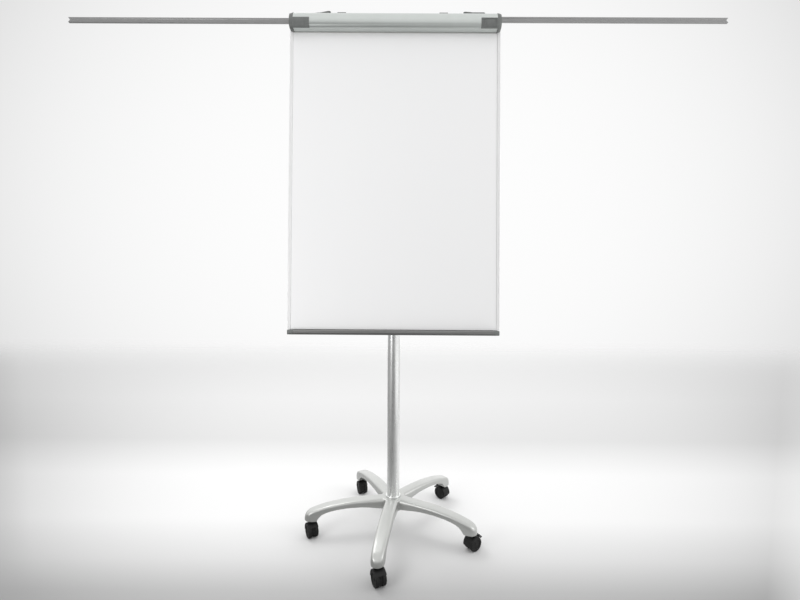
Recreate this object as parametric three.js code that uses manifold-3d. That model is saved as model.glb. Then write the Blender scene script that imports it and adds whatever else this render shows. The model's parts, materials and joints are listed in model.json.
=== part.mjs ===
// Mobile flipchart easel: a writing board with a pen tray, a hinged paper clamp and two
// pull-out paper arms, on a telescopic column that stands on a five-leg star with castors.
//
// Units are millimetres. +X is to the right as the writer sees it, -Y is towards the writer
// and +Z is up. The origin is on the floor, in the middle of the object's outer box.
//
// Pieces on the board are drawn in board coordinates: u to the right, v up the board from the
// underside of the pen tray, and w out of the writing surface, which is the plane w = 0.

import * as THREE from 'three';
import { mergeVertices } from 'three/addons/utils/BufferGeometryUtils.js';
import Module from 'manifold-3d';

const wasm = await Module();
wasm.setup();

// ---------------------------------------------------------------- driving dimensions

const GAP = 0.3; // clearance between neighbouring pieces

// Star base
const LEG_REACH = 297; // column axis to castor stem
const FIRST_LEG_ANGLE = -98; // degrees from +X
const HUB_TOP = 123.5;
const HUB_UNDERSIDE = 84;
const HUB_RADIUS = 44;
const SOCKET_FLOOR = 92;
const LEG_HALF_WIDTH_AT_HUB = 25.5;
const LEG_HALF_WIDTH_AT_TIP = 21.5;
const LEG_WALL = 4;
const LEG_RING_STEPS = 8;
const LEG_HOLLOW_RING_STEPS = 6;
const LEG_SQUARENESS = 0.44; // exponent of the superellipse leg section, 1 is an ellipse
const LEG_HOLLOW_START = 48;
const TIP_UNDERSIDE = 60;
// Cross-sections along a leg: crown radius and height, lower edge radius and height
const LEG_SECTIONS = [
  [0, HUB_TOP, 0, 86],
  [LEG_HOLLOW_START, HUB_TOP, LEG_HOLLOW_START, 90],
  [110, HUB_TOP - 0.5, 107, 98.5],
  [158, 121, 155, 100],
  [204, 116, 196, 97.5],
  [243, 110, 230, 92],
  [273, 102.5, 256, 83.5],
  [291, 97.5, 270, 71],
  [303, 92, 279, TIP_UNDERSIDE],
  [312, 84.5, 297, TIP_UNDERSIDE],
  [317, 75.5, 312, TIP_UNDERSIDE],
  [319, 66, 318.5, TIP_UNDERSIDE],
];
const LEG_HOLLOW_SECTIONS = [1, 7]; // first and last-plus-one section that the hollow follows

// Castors, in leg order; trail is the direction in degrees that the wheels lag behind the stem
const CASTORS = [
  { place: 'front', trail: -65, braked: false },
  { place: 'front_right', trail: 35, braked: true },
  { place: 'back_right', trail: 135, braked: true },
  { place: 'back_left', trail: -70, braked: false },
  { place: 'front_left', trail: -61, braked: false },
];
const TRAIL = 10;
const WHEEL_RADIUS = 25;
const WHEEL_WIDTH = 13;
const WHEEL_SEGMENTS = 16;
const AXLE_RADIUS = 3;
const WEB_HALF = 4; // half thickness of the housing web between the two wheels
const WEB_RADIUS = 22;
const WHEEL_OFFSET = WEB_HALF + 0.8 + WHEEL_WIDTH / 2;
const CASTOR_HALF_WIDTH = WHEEL_OFFSET + WHEEL_WIDTH / 2;
const HOOD_INNER = 26;
const HOOD_OUTER = 28.6;
const HOOD_FROM = 40; // degrees round the axle, 0 along the trail, 90 up
const HOOD_TO = 190;
const BOSS_RADIUS = 11;
const BOSS_TOP = TIP_UNDERSIDE - 0.7;
const STEM_RADIUS = 5.5;
const STEM_SHOULDER = 53;
const STEM_PIN_RADIUS = 2.4;
const STEM_FOOT = 37;
const STEM_TOP = 85;
const BRAKE_PIVOT_ANGLE = 62;
const BRAKE_PIVOT_RADIUS = 31.8;
const BRAKE_HALF_WIDTH = 12.5;

// Column
const OUTER_TUBE_RADIUS = 22.5;
const OUTER_TUBE_BORE = 20.5;
const OUTER_TUBE_TOP = 1000;
const INNER_TUBE_RADIUS = 17.5;
const INNER_TUBE_BORE = 15.5;
const INNER_TUBE_FOOT = 640;
const INNER_TUBE_TOP = 1470;
const TUBE_SEGMENTS = 24;
const FOOT_RING_RADIUS = 27;
const FOOT_RING_HEIGHT = 5;
const BUSH_LENGTH = 60;
const BUSH_FLANGE = 4;
const COLLAR_RADIUS = 28;
const COLLAR_BOTTOM = 955;
const COLLAR_TOP = 995;
const KNOB_HEIGHT = 975; // height of the clamping knob's axis
const KNOB_SCREW_RADIUS = 4;
const KNOB_RADIUS = 19;
const KNOB_LOBES = 6;
const KNOB_FACE = 58; // distance of the knob's outer face from the column axis
const COLLAR_BOSS_END = 38;

// Board placing
const TILT = 5 * Math.PI / 180;
const BOARD_STANDOFF = 126; // column axis to writing surface, level with the tray underside
const BOARD_FOOT = 738.5; // height of the tray underside

// Board
const BOARD_HALF = 350;
const FRAME_LIP = 11;
const FRAME_FRONT = 1.6;
const FRAME_BACK = -15.3;
const CORE_FRONT = -1.3;
const CORE_BACK = -13.3;
const CORE_TOP = 1040;
const CORE_HALF = 347;

// Pen tray
const TRAY_HALF = 325;
const TRAY_CAP_END = 343;
const TRAY_TOP = 16;
const TRAY_FRONT = 32;

// Clamp
const CLAMP_HALF = 334;
const ROD_W = 9;
const ROD_V = 1050;
const ROD_RADIUS = 2.5;
const ROD_HALF = 343;
const KNUCKLE_RADIUS = 5.2;
const RAIL_HALF = 333;
const KNUCKLES = [[-RAIL_HALF, -315], [-20, 20], [315, RAIL_HALF]];
const RAIL_FRONT = 3.3;
const RAIL_TOP = 1062;
const HOOK_SLOT = [-9.5, -3.5];
const HOOK_SLOT_FLOOR = 1054;
const JAW_WALL = 2;
const JAW_RIM_RADIUS = 9.3;
const JAW_RIM_ANGLE = 48; // where the jaw's shell begins, in degrees round the rod
const LIP_V = 1001; // underside of the jaw
const RAIL_FOOT = LIP_V + 2.8;
const JAW_FLANGE_TOP = LIP_V + 12;
const JAW_FLANGE_W = 6.3; // back face of the flange that holds the grip strip
// Outside of the jaw as (w, v), after the rim that turns round the rod
const JAW_FRONT = [
  [21.5, 1053], [28, 1045.5], [32.5, 1035], [34, 1023.5], [32.8, 1012.5], [28.6, 1004.9],
  [21, LIP_V + 0.5], [12, LIP_V],
];
const JAW_STEPS = 18;
const CAP_END = 346.5;
const CAP_BACK = 2.2;
const CAP_PROUD = 0.8;
const BADGE_FROM = 280;
const BADGE_V = [1002.2, 1032];
const BADGE_PROUD = 1.4;
const SPRING_FROM = 298;
const SPRING_TURNS = 3.5;
const SPRING_PITCH = 2.6;
const SPRING_COIL = 4.3;
const SPRING_WIRE = 0.8;
const SPRING_LEG = 12;
const PAD_HOOKS = { left: -178, right: 160 };
const PAD_HOOK_TOP = 1068.5;

// Paper arms and their double rail
const ARM_LENGTH = 860;
const ARM_HEIGHT = 17;
const ARM_THICK = 8;
const ARM_V = 1060;
const ARM_NOTCH = 5.5;
const ARM_RAIL_HALF = 346.5;
const ARM_RAIL_W = [-40, -15.6];
const ARM_RAIL_WALL = 2.2;
const ARMS = {
  left: { side: -1, w: -33, tip: 1112, lockU: -283, lockW: -31, lockTurn: -12 },
  right: { side: 1, w: -22, tip: 1116, lockU: 294.5, lockW: -24, lockTurn: 184 },
};
const LOCK_TOP = 1083;
const LOCK_LENGTH = 73;
const LOCK_HUB_RADIUS = 8;
const LOCK_SPINDLE_RADIUS = 3;
const LOCK_HANDLE_HALF = 6;
const LOCK_HANDLE_THICK = 7;

// ---------------------------------------------------------------- finishes

const look = (color, roughness, metalness) => ({ color, roughness, metalness });
const SILVER_PAINT = look(0xcfd2cf, 0.42, 0.25);
const TUBE_SILVER = look(0xc9cccb, 0.38, 0.35);
const CLAMP_SILVER = look(0xb4bbb7, 0.36, 0.55);
const TRAY_GREY = look(0x8b8d8c, 0.45, 0.5);
const CAP_GREY = look(0x6f7674, 0.55, 0);
const ARM_GREY = look(0x929292, 0.5, 0.35);
const PANEL_WHITE = look(0xf2f2f2, 0.2, 0);
const FRAME_WHITE = look(0xe9eae9, 0.4, 0.1);
const CORE_GREY = look(0xb9b7b2, 0.8, 0);
const BLACK_NYLON = look(0x202123, 0.5, 0);
const BLACK_TREAD = look(0x2a2b2d, 0.7, 0);
const DARK_GREY = look(0x4b4e4f, 0.6, 0);
const STEEL = look(0xa9abad, 0.3, 0.9);
const RUBBER = look(0x1c1c1d, 0.85, 0);

// ---------------------------------------------------------------- shape helpers

const X = new THREE.Vector3(1, 0, 0);
const Y = new THREE.Vector3(0, 1, 0);
const Z = new THREE.Vector3(0, 0, 1);
const radians = (degrees) => degrees * Math.PI / 180;

/** Makes a manifold solid from a closed geometry; a solid is passed through. */
function solid(shape) {
  if (shape instanceof wasm.Manifold) return shape;
  const bare = shape.clone();
  bare.deleteAttribute('normal');
  bare.deleteAttribute('uv');
  const merged = mergeVertices(bare, 1e-4);
  return new wasm.Manifold(new wasm.Mesh({
    numProp: 3,
    vertProperties: new Float32Array(merged.attributes.position.array),
    triVerts: new Uint32Array(merged.index.array),
  }));
}

const join = (...shapes) => shapes.map(solid).reduce((sum, next) => sum.add(next));
const cut = (base, ...tools) => tools.reduce((rest, tool) => rest.subtract(solid(tool)), solid(base));
const common = (a, b) => solid(a).intersect(solid(b));

/** Turns a solid back into a geometry that a mesh can show. */
function geometryOf(shape) {
  const { vertProperties, triVerts } = solid(shape).getMesh();
  const geometry = new THREE.BufferGeometry();
  geometry.setAttribute('position', new THREE.BufferAttribute(new Float32Array(vertProperties), 3));
  geometry.setIndex(new THREE.BufferAttribute(new Uint32Array(triVerts), 1));
  geometry.computeVertexNormals();
  return geometry;
}

/** Adds one named sub-part to a group. */
function addPart(group, name, shape, finish) {
  const mesh = new THREE.Mesh(geometryOf(shape), new THREE.MeshStandardMaterial(finish));
  mesh.name = name;
  group.add(mesh);
  return mesh;
}

/** A box between two opposite corners. */
function block([x0, y0, z0], [x1, y1, z1]) {
  const geometry = new THREE.BoxGeometry(x1 - x0, y1 - y0, z1 - z0);
  return geometry.translate((x0 + x1) / 2, (y0 + y1) / 2, (z0 + z1) / 2);
}

/** A round bar from one point to another. */
function bar(radius, from, to, segments = 20) {
  const start = new THREE.Vector3(...from);
  const end = new THREE.Vector3(...to);
  const geometry = new THREE.CylinderGeometry(radius, radius, start.distanceTo(end), segments);
  const direction = end.clone().sub(start).normalize();
  geometry.applyQuaternion(new THREE.Quaternion().setFromUnitVectors(Y, direction));
  const middle = start.add(end).multiplyScalar(0.5);
  return geometry.translate(middle.x, middle.y, middle.z);
}

/** A solid of revolution about Z from (radius, height) points that run up its outside. */
function turned(points, segments = TUBE_SEGMENTS) {
  const profile = points.map(([r, z]) => new THREE.Vector2(r, z));
  return new THREE.LatheGeometry(profile, segments).rotateX(Math.PI / 2);
}

/** A straight tube about Z. */
function tube(outer, bore, bottom, top, segments = TUBE_SEGMENTS) {
  const wall = [[bore, bottom], [outer, bottom], [outer, top], [bore, top], [bore, bottom]];
  return turned(wall, segments);
}

const flat = (points) => points.map(([a, b]) => new THREE.Vector2(a, b));

/** Extrudes an outline of (a, b) points by depth. */
function extrude(points, depth) {
  return new THREE.ExtrudeGeometry(new THREE.Shape(flat(points)), { depth, bevelEnabled: false });
}

/** Extrudes a (y, z) outline along X. */
function alongX(points, from, to) {
  const geometry = extrude(points, to - from);
  geometry.applyMatrix4(new THREE.Matrix4().makeBasis(Y, Z, X));
  return geometry.translate(from, 0, 0);
}

/** Extrudes an (x, z) outline along Y, from one y to a larger one. */
function alongY(points, from, to) {
  const geometry = extrude(points, to - from);
  geometry.applyMatrix4(new THREE.Matrix4().makeBasis(X, Z, Y.clone().negate()));
  return geometry.translate(0, to, 0);
}

/** Extrudes a (w, v) board section along u. */
function alongBoard(section, from, to) {
  return alongX(section.map(([w, v]) => [-w, v]), from, to);
}

const rectangle = (a0, b0, a1, b1) => [[a0, b0], [a1, b0], [a1, b1], [a0, b1]];

/** Points on an arc, with angles in degrees. */
function arc(centreA, centreB, radius, from, to, steps) {
  return Array.from({ length: steps + 1 }, (_, k) => {
    const angle = radians(from + (to - from) * k / steps);
    return [centreA + radius * Math.cos(angle), centreB + radius * Math.sin(angle)];
  });
}

/** A closed skin through rings of points, each ring convex and with the same count. */
function loft(rings) {
  const count = rings[0].length;
  const triangles = [];
  for (let i = 0; i + 1 < rings.length; i++) {
    for (let k = 0; k < count; k++) {
      const a = i * count + k;
      const b = i * count + (k + 1) % count;
      triangles.push(a, b, a + count, b, b + count, a + count);
    }
  }
  const last = (rings.length - 1) * count;
  for (let k = 1; k + 1 < count; k++) {
    triangles.push(0, k + 1, k, last, last + k, last + k + 1);
  }
  const geometry = new THREE.BufferGeometry().setFromPoints(rings.flat());
  return geometry.setIndex(triangles);
}

/** Moves an open line of points sideways, to its left when the distance is positive. */
function offset(points, distance) {
  return points.map(([a, b], k) => {
    const before = points[Math.max(k - 1, 0)];
    const after = points[Math.min(k + 1, points.length - 1)];
    const along = new THREE.Vector2(after[0] - before[0], after[1] - before[1]).normalize();
    return [a - along.y * distance, b + along.x * distance];
  });
}

// ---------------------------------------------------------------- star base

/** Half the width of a leg at a distance from the column axis; the nose is round. */
function legHalfWidth(r) {
  const taper = LEG_HALF_WIDTH_AT_TIP - LEG_HALF_WIDTH_AT_HUB;
  if (r < LEG_REACH) return LEG_HALF_WIDTH_AT_HUB + taper * r / LEG_REACH;
  return Math.sqrt(Math.max(LEG_HALF_WIDTH_AT_TIP ** 2 - (r - LEG_REACH) ** 2, 1));
}

/** One cross-section of a leg, or of the hollow that lies an inset inside it. */
function legRing([crownR, crownZ, footR, footZ], inset, steps) {
  const height = crownZ - footZ;
  const low = inset > 0 ? -3 / height : 0;
  const high = 1 - inset / height;
  return Array.from({ length: steps + 1 }, (_, k) => {
    const angle = Math.PI * k / steps;
    const rise = low + (high - low) * Math.abs(Math.sin(angle)) ** LEG_SQUARENESS;
    const spread = Math.sign(Math.cos(angle)) * Math.abs(Math.cos(angle)) ** LEG_SQUARENESS;
    const r = footR + (crownR - footR) * rise;
    return new THREE.Vector3(r, (legHalfWidth(r) - inset) * spread, footZ + height * rise);
  });
}

/** Five arched legs, open underneath, round a hub with the column's socket. */
function starBase() {
  const legAngles = CASTORS.map((_, k) => radians(FIRST_LEG_ANGLE + 72 * k));
  const leg = loft(LEG_SECTIONS.map((section) => legRing(section, 0, LEG_RING_STEPS)));
  const hollow = loft(LEG_SECTIONS.slice(...LEG_HOLLOW_SECTIONS)
    .map((section) => legRing(section, LEG_WALL, LEG_HOLLOW_RING_STEPS)));
  const stemBore = bar(STEM_RADIUS + GAP, [LEG_REACH, 0, 50], [LEG_REACH, 0, STEM_TOP + GAP], 12);
  const finishedLeg = cut(leg, hollow, stemBore);
  const hub = turned([[0, HUB_UNDERSIDE], [HUB_RADIUS - 3, HUB_UNDERSIDE],
    [HUB_RADIUS, HUB_UNDERSIDE + 3], [HUB_RADIUS, HUB_TOP - 4], [HUB_RADIUS - 4, HUB_TOP],
    [0, HUB_TOP]], 20);
  const legs = legAngles.map((angle) => finishedLeg.rotate([0, 0, THREE.MathUtils.radToDeg(angle)]));
  const socket = bar(OUTER_TUBE_RADIUS + GAP, [0, 0, SOCKET_FLOOR], [0, 0, HUB_TOP + 1], TUBE_SEGMENTS);
  return cut(join(hub, ...legs), socket);
}

/** The ring that hides the joint between hub and column. */
function footRing() {
  const bottom = HUB_TOP + GAP;
  const bore = OUTER_TUBE_RADIUS + GAP;
  const top = bottom + FOOT_RING_HEIGHT;
  return turned([[bore, bottom], [FOOT_RING_RADIUS, bottom], [FOOT_RING_RADIUS, top - 2],
    [FOOT_RING_RADIUS - 2, top], [bore, top], [bore, bottom]]);
}

// ---------------------------------------------------------------- castors
// A castor is drawn with its stem on Z and its wheels lagging towards +X.

const aroundAxle = (radius, from, to, steps) => arc(TRAIL, WHEEL_RADIUS, radius, from, to, steps);

/** A block between two radii and two angles round the axle, from one y to a larger one. */
function axleSector([inner, outer], [from, to], [y0, y1], steps = 8) {
  const section = [...aroundAxle(outer, from, to, steps), ...aroundAxle(inner, to, from, steps)];
  return alongY(section, y0, y1);
}

function castorStem() {
  return turned([[0, STEM_FOOT], [STEM_PIN_RADIUS, STEM_FOOT], [STEM_PIN_RADIUS, STEM_SHOULDER],
    [STEM_RADIUS, STEM_SHOULDER], [STEM_RADIUS, STEM_TOP - 1.5], [STEM_RADIUS - 1.5, STEM_TOP],
    [0, STEM_TOP]], 12);
}

function brakePivot(y) {
  const [[x, z]] = aroundAxle(BRAKE_PIVOT_RADIUS, BRAKE_PIVOT_ANGLE, BRAKE_PIVOT_ANGLE, 1);
  return [x, y, z];
}

/** The nylon housing: a web between the wheels, a hood over them and a boss round the stem. */
function castorHousing(braked) {
  const body = [...aroundAxle(HOOD_OUTER, HOOD_FROM, HOOD_TO, 8), ...aroundAxle(WEB_RADIUS, 205, 385, 8)];
  const pieces = [
    alongY(body, -CASTOR_HALF_WIDTH, CASTOR_HALF_WIDTH),
    bar(BOSS_RADIUS, [0, 0, STEM_FOOT - 2], [0, 0, BOSS_TOP], 14),
  ];
  const tools = [
    bar(STEM_RADIUS + GAP, [0, 0, STEM_SHOULDER - GAP], [0, 0, BOSS_TOP + 1], 12),
    bar(STEM_PIN_RADIUS + GAP, [0, 0, STEM_FOOT - GAP], [0, 0, STEM_SHOULDER], 8),
    bar(AXLE_RADIUS + GAP, [TRAIL, -30, WHEEL_RADIUS], [TRAIL, 30, WHEEL_RADIUS], 10),
  ];
  for (const side of [-1, 1]) {
    const inner = side * (WEB_HALF + 0.2);
    const outer = side * (CASTOR_HALF_WIDTH + 1);
    tools.push(bar(HOOD_INNER, [TRAIL, inner, WHEEL_RADIUS], [TRAIL, outer, WHEEL_RADIUS], 20));
  }
  if (braked) {
    const earInside = BRAKE_HALF_WIDTH + GAP;
    const ears = [[earInside, earInside + 2], [-earInside - 2, -earInside]];
    for (const ear of ears) pieces.push(axleSector([27.5, 34.5], [57, 67], ear, 2));
    tools.push(bar(1.9, brakePivot(-20), brakePivot(20), 8));
  }
  return cut(join(...pieces), ...tools);
}

/** One wheel, with its blind bore facing the web; side is +1 or -1 along the axle. */
function castorWheel(side) {
  const half = WHEEL_WIDTH / 2;
  const bore = AXLE_RADIUS + GAP;
  const profile = [[0, 5.3], [bore, 5.3], [bore, -half], [WHEEL_RADIUS - 2.5, -half],
    [WHEEL_RADIUS, 2 - half], [WHEEL_RADIUS, half - 3], [WHEEL_RADIUS - 3, half], [0, half]];
  const wheel = new THREE.LatheGeometry(flat(profile), WHEEL_SEGMENTS);
  return side > 0 ? wheel : wheel.rotateZ(Math.PI);
}

/** The foot pedal that presses on both treads. */
function brakeLever() {
  const width = [-BRAKE_HALF_WIDTH, BRAKE_HALF_WIDTH];
  return join(
    axleSector([30.5, 33], [25, 66], width, 5),
    axleSector([30.5, 35], [25, 32], width, 2),
    bar(1.6, brakePivot(-BRAKE_HALF_WIDTH - 2), brakePivot(BRAKE_HALF_WIDTH + 2), 8),
  );
}

/** All the pieces of one castor in a group that stands at its leg's stem. */
function castor({ place, trail, braked }, legAngle) {
  const group = new THREE.Group();
  group.position.set(LEG_REACH * Math.cos(legAngle), LEG_REACH * Math.sin(legAngle), 0);
  group.rotation.z = radians(trail);
  const axleHalf = WHEEL_OFFSET + 5;
  const axle = bar(AXLE_RADIUS, [TRAIL, -axleHalf, WHEEL_RADIUS], [TRAIL, axleHalf, WHEEL_RADIUS], 10);
  addPart(group, `${place}_castor_stem`, castorStem(), STEEL);
  addPart(group, `${place}_castor_housing`, castorHousing(braked), BLACK_NYLON);
  addPart(group, `${place}_castor_axle`, axle, STEEL);
  for (const [label, side] of [['a', 1], ['b', -1]]) {
    const wheel = addPart(group, `${place}_castor_wheel_${label}`, castorWheel(side), BLACK_TREAD);
    wheel.position.set(TRAIL, side * WHEEL_OFFSET, WHEEL_RADIUS);
  }
  if (braked) addPart(group, `${place}_brake_lever`, brakeLever(), DARK_GREY);
  return group;
}

// ---------------------------------------------------------------- column

const knobScrewHole = () => bar(KNOB_SCREW_RADIUS + GAP, [0, 0, KNOB_HEIGHT], [0, 60, KNOB_HEIGHT], 12);

function outerTube() {
  return cut(tube(OUTER_TUBE_RADIUS, OUTER_TUBE_BORE, SOCKET_FLOOR + GAP, OUTER_TUBE_TOP), knobScrewHole());
}

/** The plastic bush in the mouth of the outer tube that guides the inner tube. */
function guideBush() {
  const bore = INNER_TUBE_RADIUS + GAP;
  const flangeFoot = OUTER_TUBE_TOP + GAP;
  const sleeve = OUTER_TUBE_BORE - GAP;
  const foot = OUTER_TUBE_TOP - BUSH_LENGTH;
  const top = flangeFoot + BUSH_FLANGE;
  const body = turned([[bore, foot], [sleeve, foot], [sleeve, flangeFoot],
    [OUTER_TUBE_RADIUS, flangeFoot], [OUTER_TUBE_RADIUS, top], [bore, top], [bore, foot]]);
  return cut(body, knobScrewHole());
}

/** The collar round the top of the outer tube, with a threaded boss for the knob. */
function lockCollar() {
  const ring = bar(COLLAR_RADIUS, [0, 0, COLLAR_BOTTOM], [0, 0, COLLAR_TOP], TUBE_SEGMENTS);
  const boss = bar(10, [0, OUTER_TUBE_RADIUS, KNOB_HEIGHT], [0, COLLAR_BOSS_END, KNOB_HEIGHT], 16);
  const bore = bar(OUTER_TUBE_RADIUS + GAP, [0, 0, COLLAR_BOTTOM - 1], [0, 0, COLLAR_TOP + 1],
    TUBE_SEGMENTS);
  return cut(join(ring, boss), bore, knobScrewHole());
}

/** The lobed knob and its screw, which presses on the inner tube. */
function lockKnob() {
  const rim = Array.from({ length: 30 }, (_, k) => {
    const angle = 2 * Math.PI * k / 30;
    const radius = KNOB_RADIUS - 2 + 2 * Math.cos(KNOB_LOBES * angle);
    return [radius * Math.cos(angle), KNOB_HEIGHT + radius * Math.sin(angle)];
  });
  const screwTip = INNER_TUBE_RADIUS + 0.5;
  const screw = bar(KNOB_SCREW_RADIUS, [0, screwTip, KNOB_HEIGHT], [0, KNOB_FACE - 5, KNOB_HEIGHT], 12);
  const neck = bar(10, [0, COLLAR_BOSS_END + 0.5, KNOB_HEIGHT], [0, KNOB_FACE - 5, KNOB_HEIGHT], 14);
  return join(alongY(rim, COLLAR_BOSS_END + 6, KNOB_FACE), neck, screw);
}

// ---------------------------------------------------------------- head bracket

const BOLT_HEIGHT = 1400;
const CHEEK_INSIDE = INNER_TUBE_RADIUS + GAP;
const CHEEK_THICK = 3;
const boltHole = () => bar(4 + GAP, [-40, 0, BOLT_HEIGHT], [40, 0, BOLT_HEIGHT], 12);

function innerTube() {
  const body = tube(INNER_TUBE_RADIUS, INNER_TUBE_BORE, INNER_TUBE_FOOT, INNER_TUBE_TOP);
  return cut(body, boltHole());
}

/** Where a (w, v) point of the board lies in the column's (y, z) plane. */
function onBoard(w, v) {
  const y = -BOARD_STANDOFF - w * Math.cos(TILT) + v * Math.sin(TILT);
  return [y, BOARD_FOOT + w * Math.sin(TILT) + v * Math.cos(TILT)];
}

const boardPlace = new THREE.Matrix4().makeRotationX(-TILT).setPosition(0, -BOARD_STANDOFF, BOARD_FOOT);

/** A folded plate: a face against the board's back and two wedge cheeks beside the tube. */
function headBracket() {
  const faceFront = -CORE_BACK + GAP;
  const face = block([-60, faceFront, 500], [60, faceFront + 3, 760]).applyMatrix4(boardPlace);
  const cheek = [onBoard(-15.5, 520), [14, 1335], [14, INNER_TUBE_TOP + 4], onBoard(-15.5, 740)];
  const cheeks = [-1, 1].map((side) => {
    const inner = side * CHEEK_INSIDE;
    const outer = side * (CHEEK_INSIDE + CHEEK_THICK);
    return alongX(cheek, Math.min(inner, outer), Math.max(inner, outer));
  });
  return cut(join(face, ...cheeks), boltHole());
}

/** The cross bolt through cheeks and tube, with its head and nut. */
function bracketBolt() {
  const cheekFace = CHEEK_INSIDE + CHEEK_THICK + GAP;
  const at = (x) => [x, 0, BOLT_HEIGHT];
  return join(
    bar(4, at(-cheekFace - 8), at(cheekFace + 3), 12),
    bar(7, at(cheekFace), at(cheekFace + 5), 6),
    bar(7, at(-cheekFace - 6), at(-cheekFace), 6),
  );
}

// ---------------------------------------------------------------- board panel and frame

function writingSheet() {
  const half = BOARD_HALF - FRAME_LIP - GAP;
  return block([-half, 0, TRAY_TOP + 0.6], [half, 1, LIP_V - GAP]);
}

function boardCore() {
  return block([-CORE_HALF, -CORE_FRONT, TRAY_TOP + 0.6], [CORE_HALF, -CORE_BACK, CORE_TOP]);
}

/** The C-shaped profile on a side edge of the board; side is -1 left, +1 right. */
function sideProfile(side) {
  const inner = BOARD_HALF - FRAME_LIP;
  const section = [
    [inner, -FRAME_FRONT + 0.5], [inner + 0.5, -FRAME_FRONT], [BOARD_HALF - 2, -FRAME_FRONT],
    [BOARD_HALF, 2 - FRAME_FRONT], [BOARD_HALF, -FRAME_BACK - 2], [BOARD_HALF - 2, -FRAME_BACK],
    [inner, -FRAME_BACK], [inner, -CORE_BACK + GAP], [CORE_HALF + GAP, -CORE_BACK + GAP],
    [CORE_HALF + GAP, -CORE_FRONT - GAP], [inner, -CORE_FRONT - GAP],
  ];
  const mirrored = section.map(([u, y]) => [side * u, y]);
  return extrude(mirrored, CORE_TOP - TRAY_TOP - GAP).translate(0, 0, TRAY_TOP + GAP);
}

// ---------------------------------------------------------------- pen tray

const TRAY_NOSE = [...arc(TRAY_FRONT - 7, 7, 7, -90, 0, 4), [TRAY_FRONT, TRAY_TOP - 4],
  [TRAY_FRONT - 1.5, TRAY_TOP - 0.8]];

/** The tray extrusion: an open trough in front of a hollow foot rail under the board. */
function penTray() {
  const trough = [[TRAY_FRONT - 3.5, TRAY_TOP - 0.8], [TRAY_FRONT - 3, 7.5], [TRAY_FRONT - 8, 3.5],
    [6, 3.5], [2, 7.5], [2, TRAY_TOP]];
  const section = [[FRAME_BACK, 0], ...TRAY_NOSE, ...trough, [FRAME_BACK, TRAY_TOP]];
  const duct = rectangle(FRAME_BACK + 2, 2, 0, TRAY_TOP - 2);
  return cut(alongBoard(section, -TRAY_HALF, TRAY_HALF), alongBoard(duct, -BOARD_HALF, BOARD_HALF));
}

function trayCap(side) {
  const section = [[FRAME_BACK, 0], ...TRAY_NOSE, [TRAY_FRONT - 4, TRAY_TOP], [FRAME_BACK, TRAY_TOP]];
  const inner = TRAY_HALF + GAP;
  return side > 0 ? alongBoard(section, inner, TRAY_CAP_END) : alongBoard(section, -TRAY_CAP_END, -inner);
}

// ---------------------------------------------------------------- paper clamp

/** A round bar along u at a (w, v) place. */
function barAlongU(radius, w, v, from, to, segments = 10) {
  return bar(radius, [from, -w, v], [to, -w, v], segments);
}

/** The fixed rail on the board's top edge, with hinge knuckles and a slot for the pad hooks. */
function topRail() {
  const coreSlotFront = CORE_FRONT + GAP;
  const coreSlotBack = CORE_BACK - GAP;
  const coreSlotTop = CORE_TOP + 0.5;
  const section = [
    [FRAME_BACK, 1000], [FRAME_BACK, RAIL_TOP], [HOOK_SLOT[0], RAIL_TOP],
    [HOOK_SLOT[0], HOOK_SLOT_FLOOR], [HOOK_SLOT[1], HOOK_SLOT_FLOOR], [HOOK_SLOT[1], RAIL_TOP],
    [RAIL_FRONT, RAIL_TOP], [RAIL_FRONT, RAIL_FOOT], [coreSlotFront, RAIL_FOOT],
    [coreSlotFront, coreSlotTop], [coreSlotBack, coreSlotTop], [coreSlotBack, 1000],
  ];
  const knuckles = KNUCKLES.flatMap(([from, to]) => [
    barAlongU(KNUCKLE_RADIUS, ROD_W, ROD_V, from, to, 12),
    alongBoard(rectangle(RAIL_FRONT - 0.5, ROD_V - 5, ROD_W, ROD_V + 5), from, to),
  ]);
  const bore = barAlongU(ROD_RADIUS + GAP, ROD_W, ROD_V, -400, 400);
  return cut(join(alongBoard(section, -RAIL_HALF, RAIL_HALF), ...knuckles), bore);
}

/** The jaw's outside line as (w, v) points, from the rim above the rod down to the lip. */
function jawLine() {
  const angle = radians(JAW_RIM_ANGLE);
  const rim = [ROD_W + JAW_RIM_RADIUS * Math.cos(angle), ROD_V + JAW_RIM_RADIUS * Math.sin(angle)];
  const curve = new THREE.SplineCurve(flat([rim, ...JAW_FRONT]));
  return curve.getPoints(JAW_STEPS).map(({ x, y }) => [x, y]);
}

/** The hinged jaw: a thin curved shell with a lip and a flange for the grip strip. */
function clampJaw() {
  const outside = jawLine();
  const inside = offset(outside, -JAW_WALL).reverse();
  const back = JAW_FLANGE_W;
  const flange = [[back, LIP_V], [back, JAW_FLANGE_TOP], [back + JAW_WALL, JAW_FLANGE_TOP],
    [back + JAW_WALL, LIP_V + JAW_WALL]];
  return alongBoard([...outside, ...flange, ...inside], -CLAMP_HALF, CLAMP_HALF);
}

function gripStrip() {
  const section = rectangle(RAIL_FRONT + 0.4, LIP_V + 4, JAW_FLANGE_W - GAP, JAW_FLANGE_TOP - 0.8);
  return alongBoard(section, -CLAMP_HALF + 2, CLAMP_HALF - 2);
}

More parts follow.
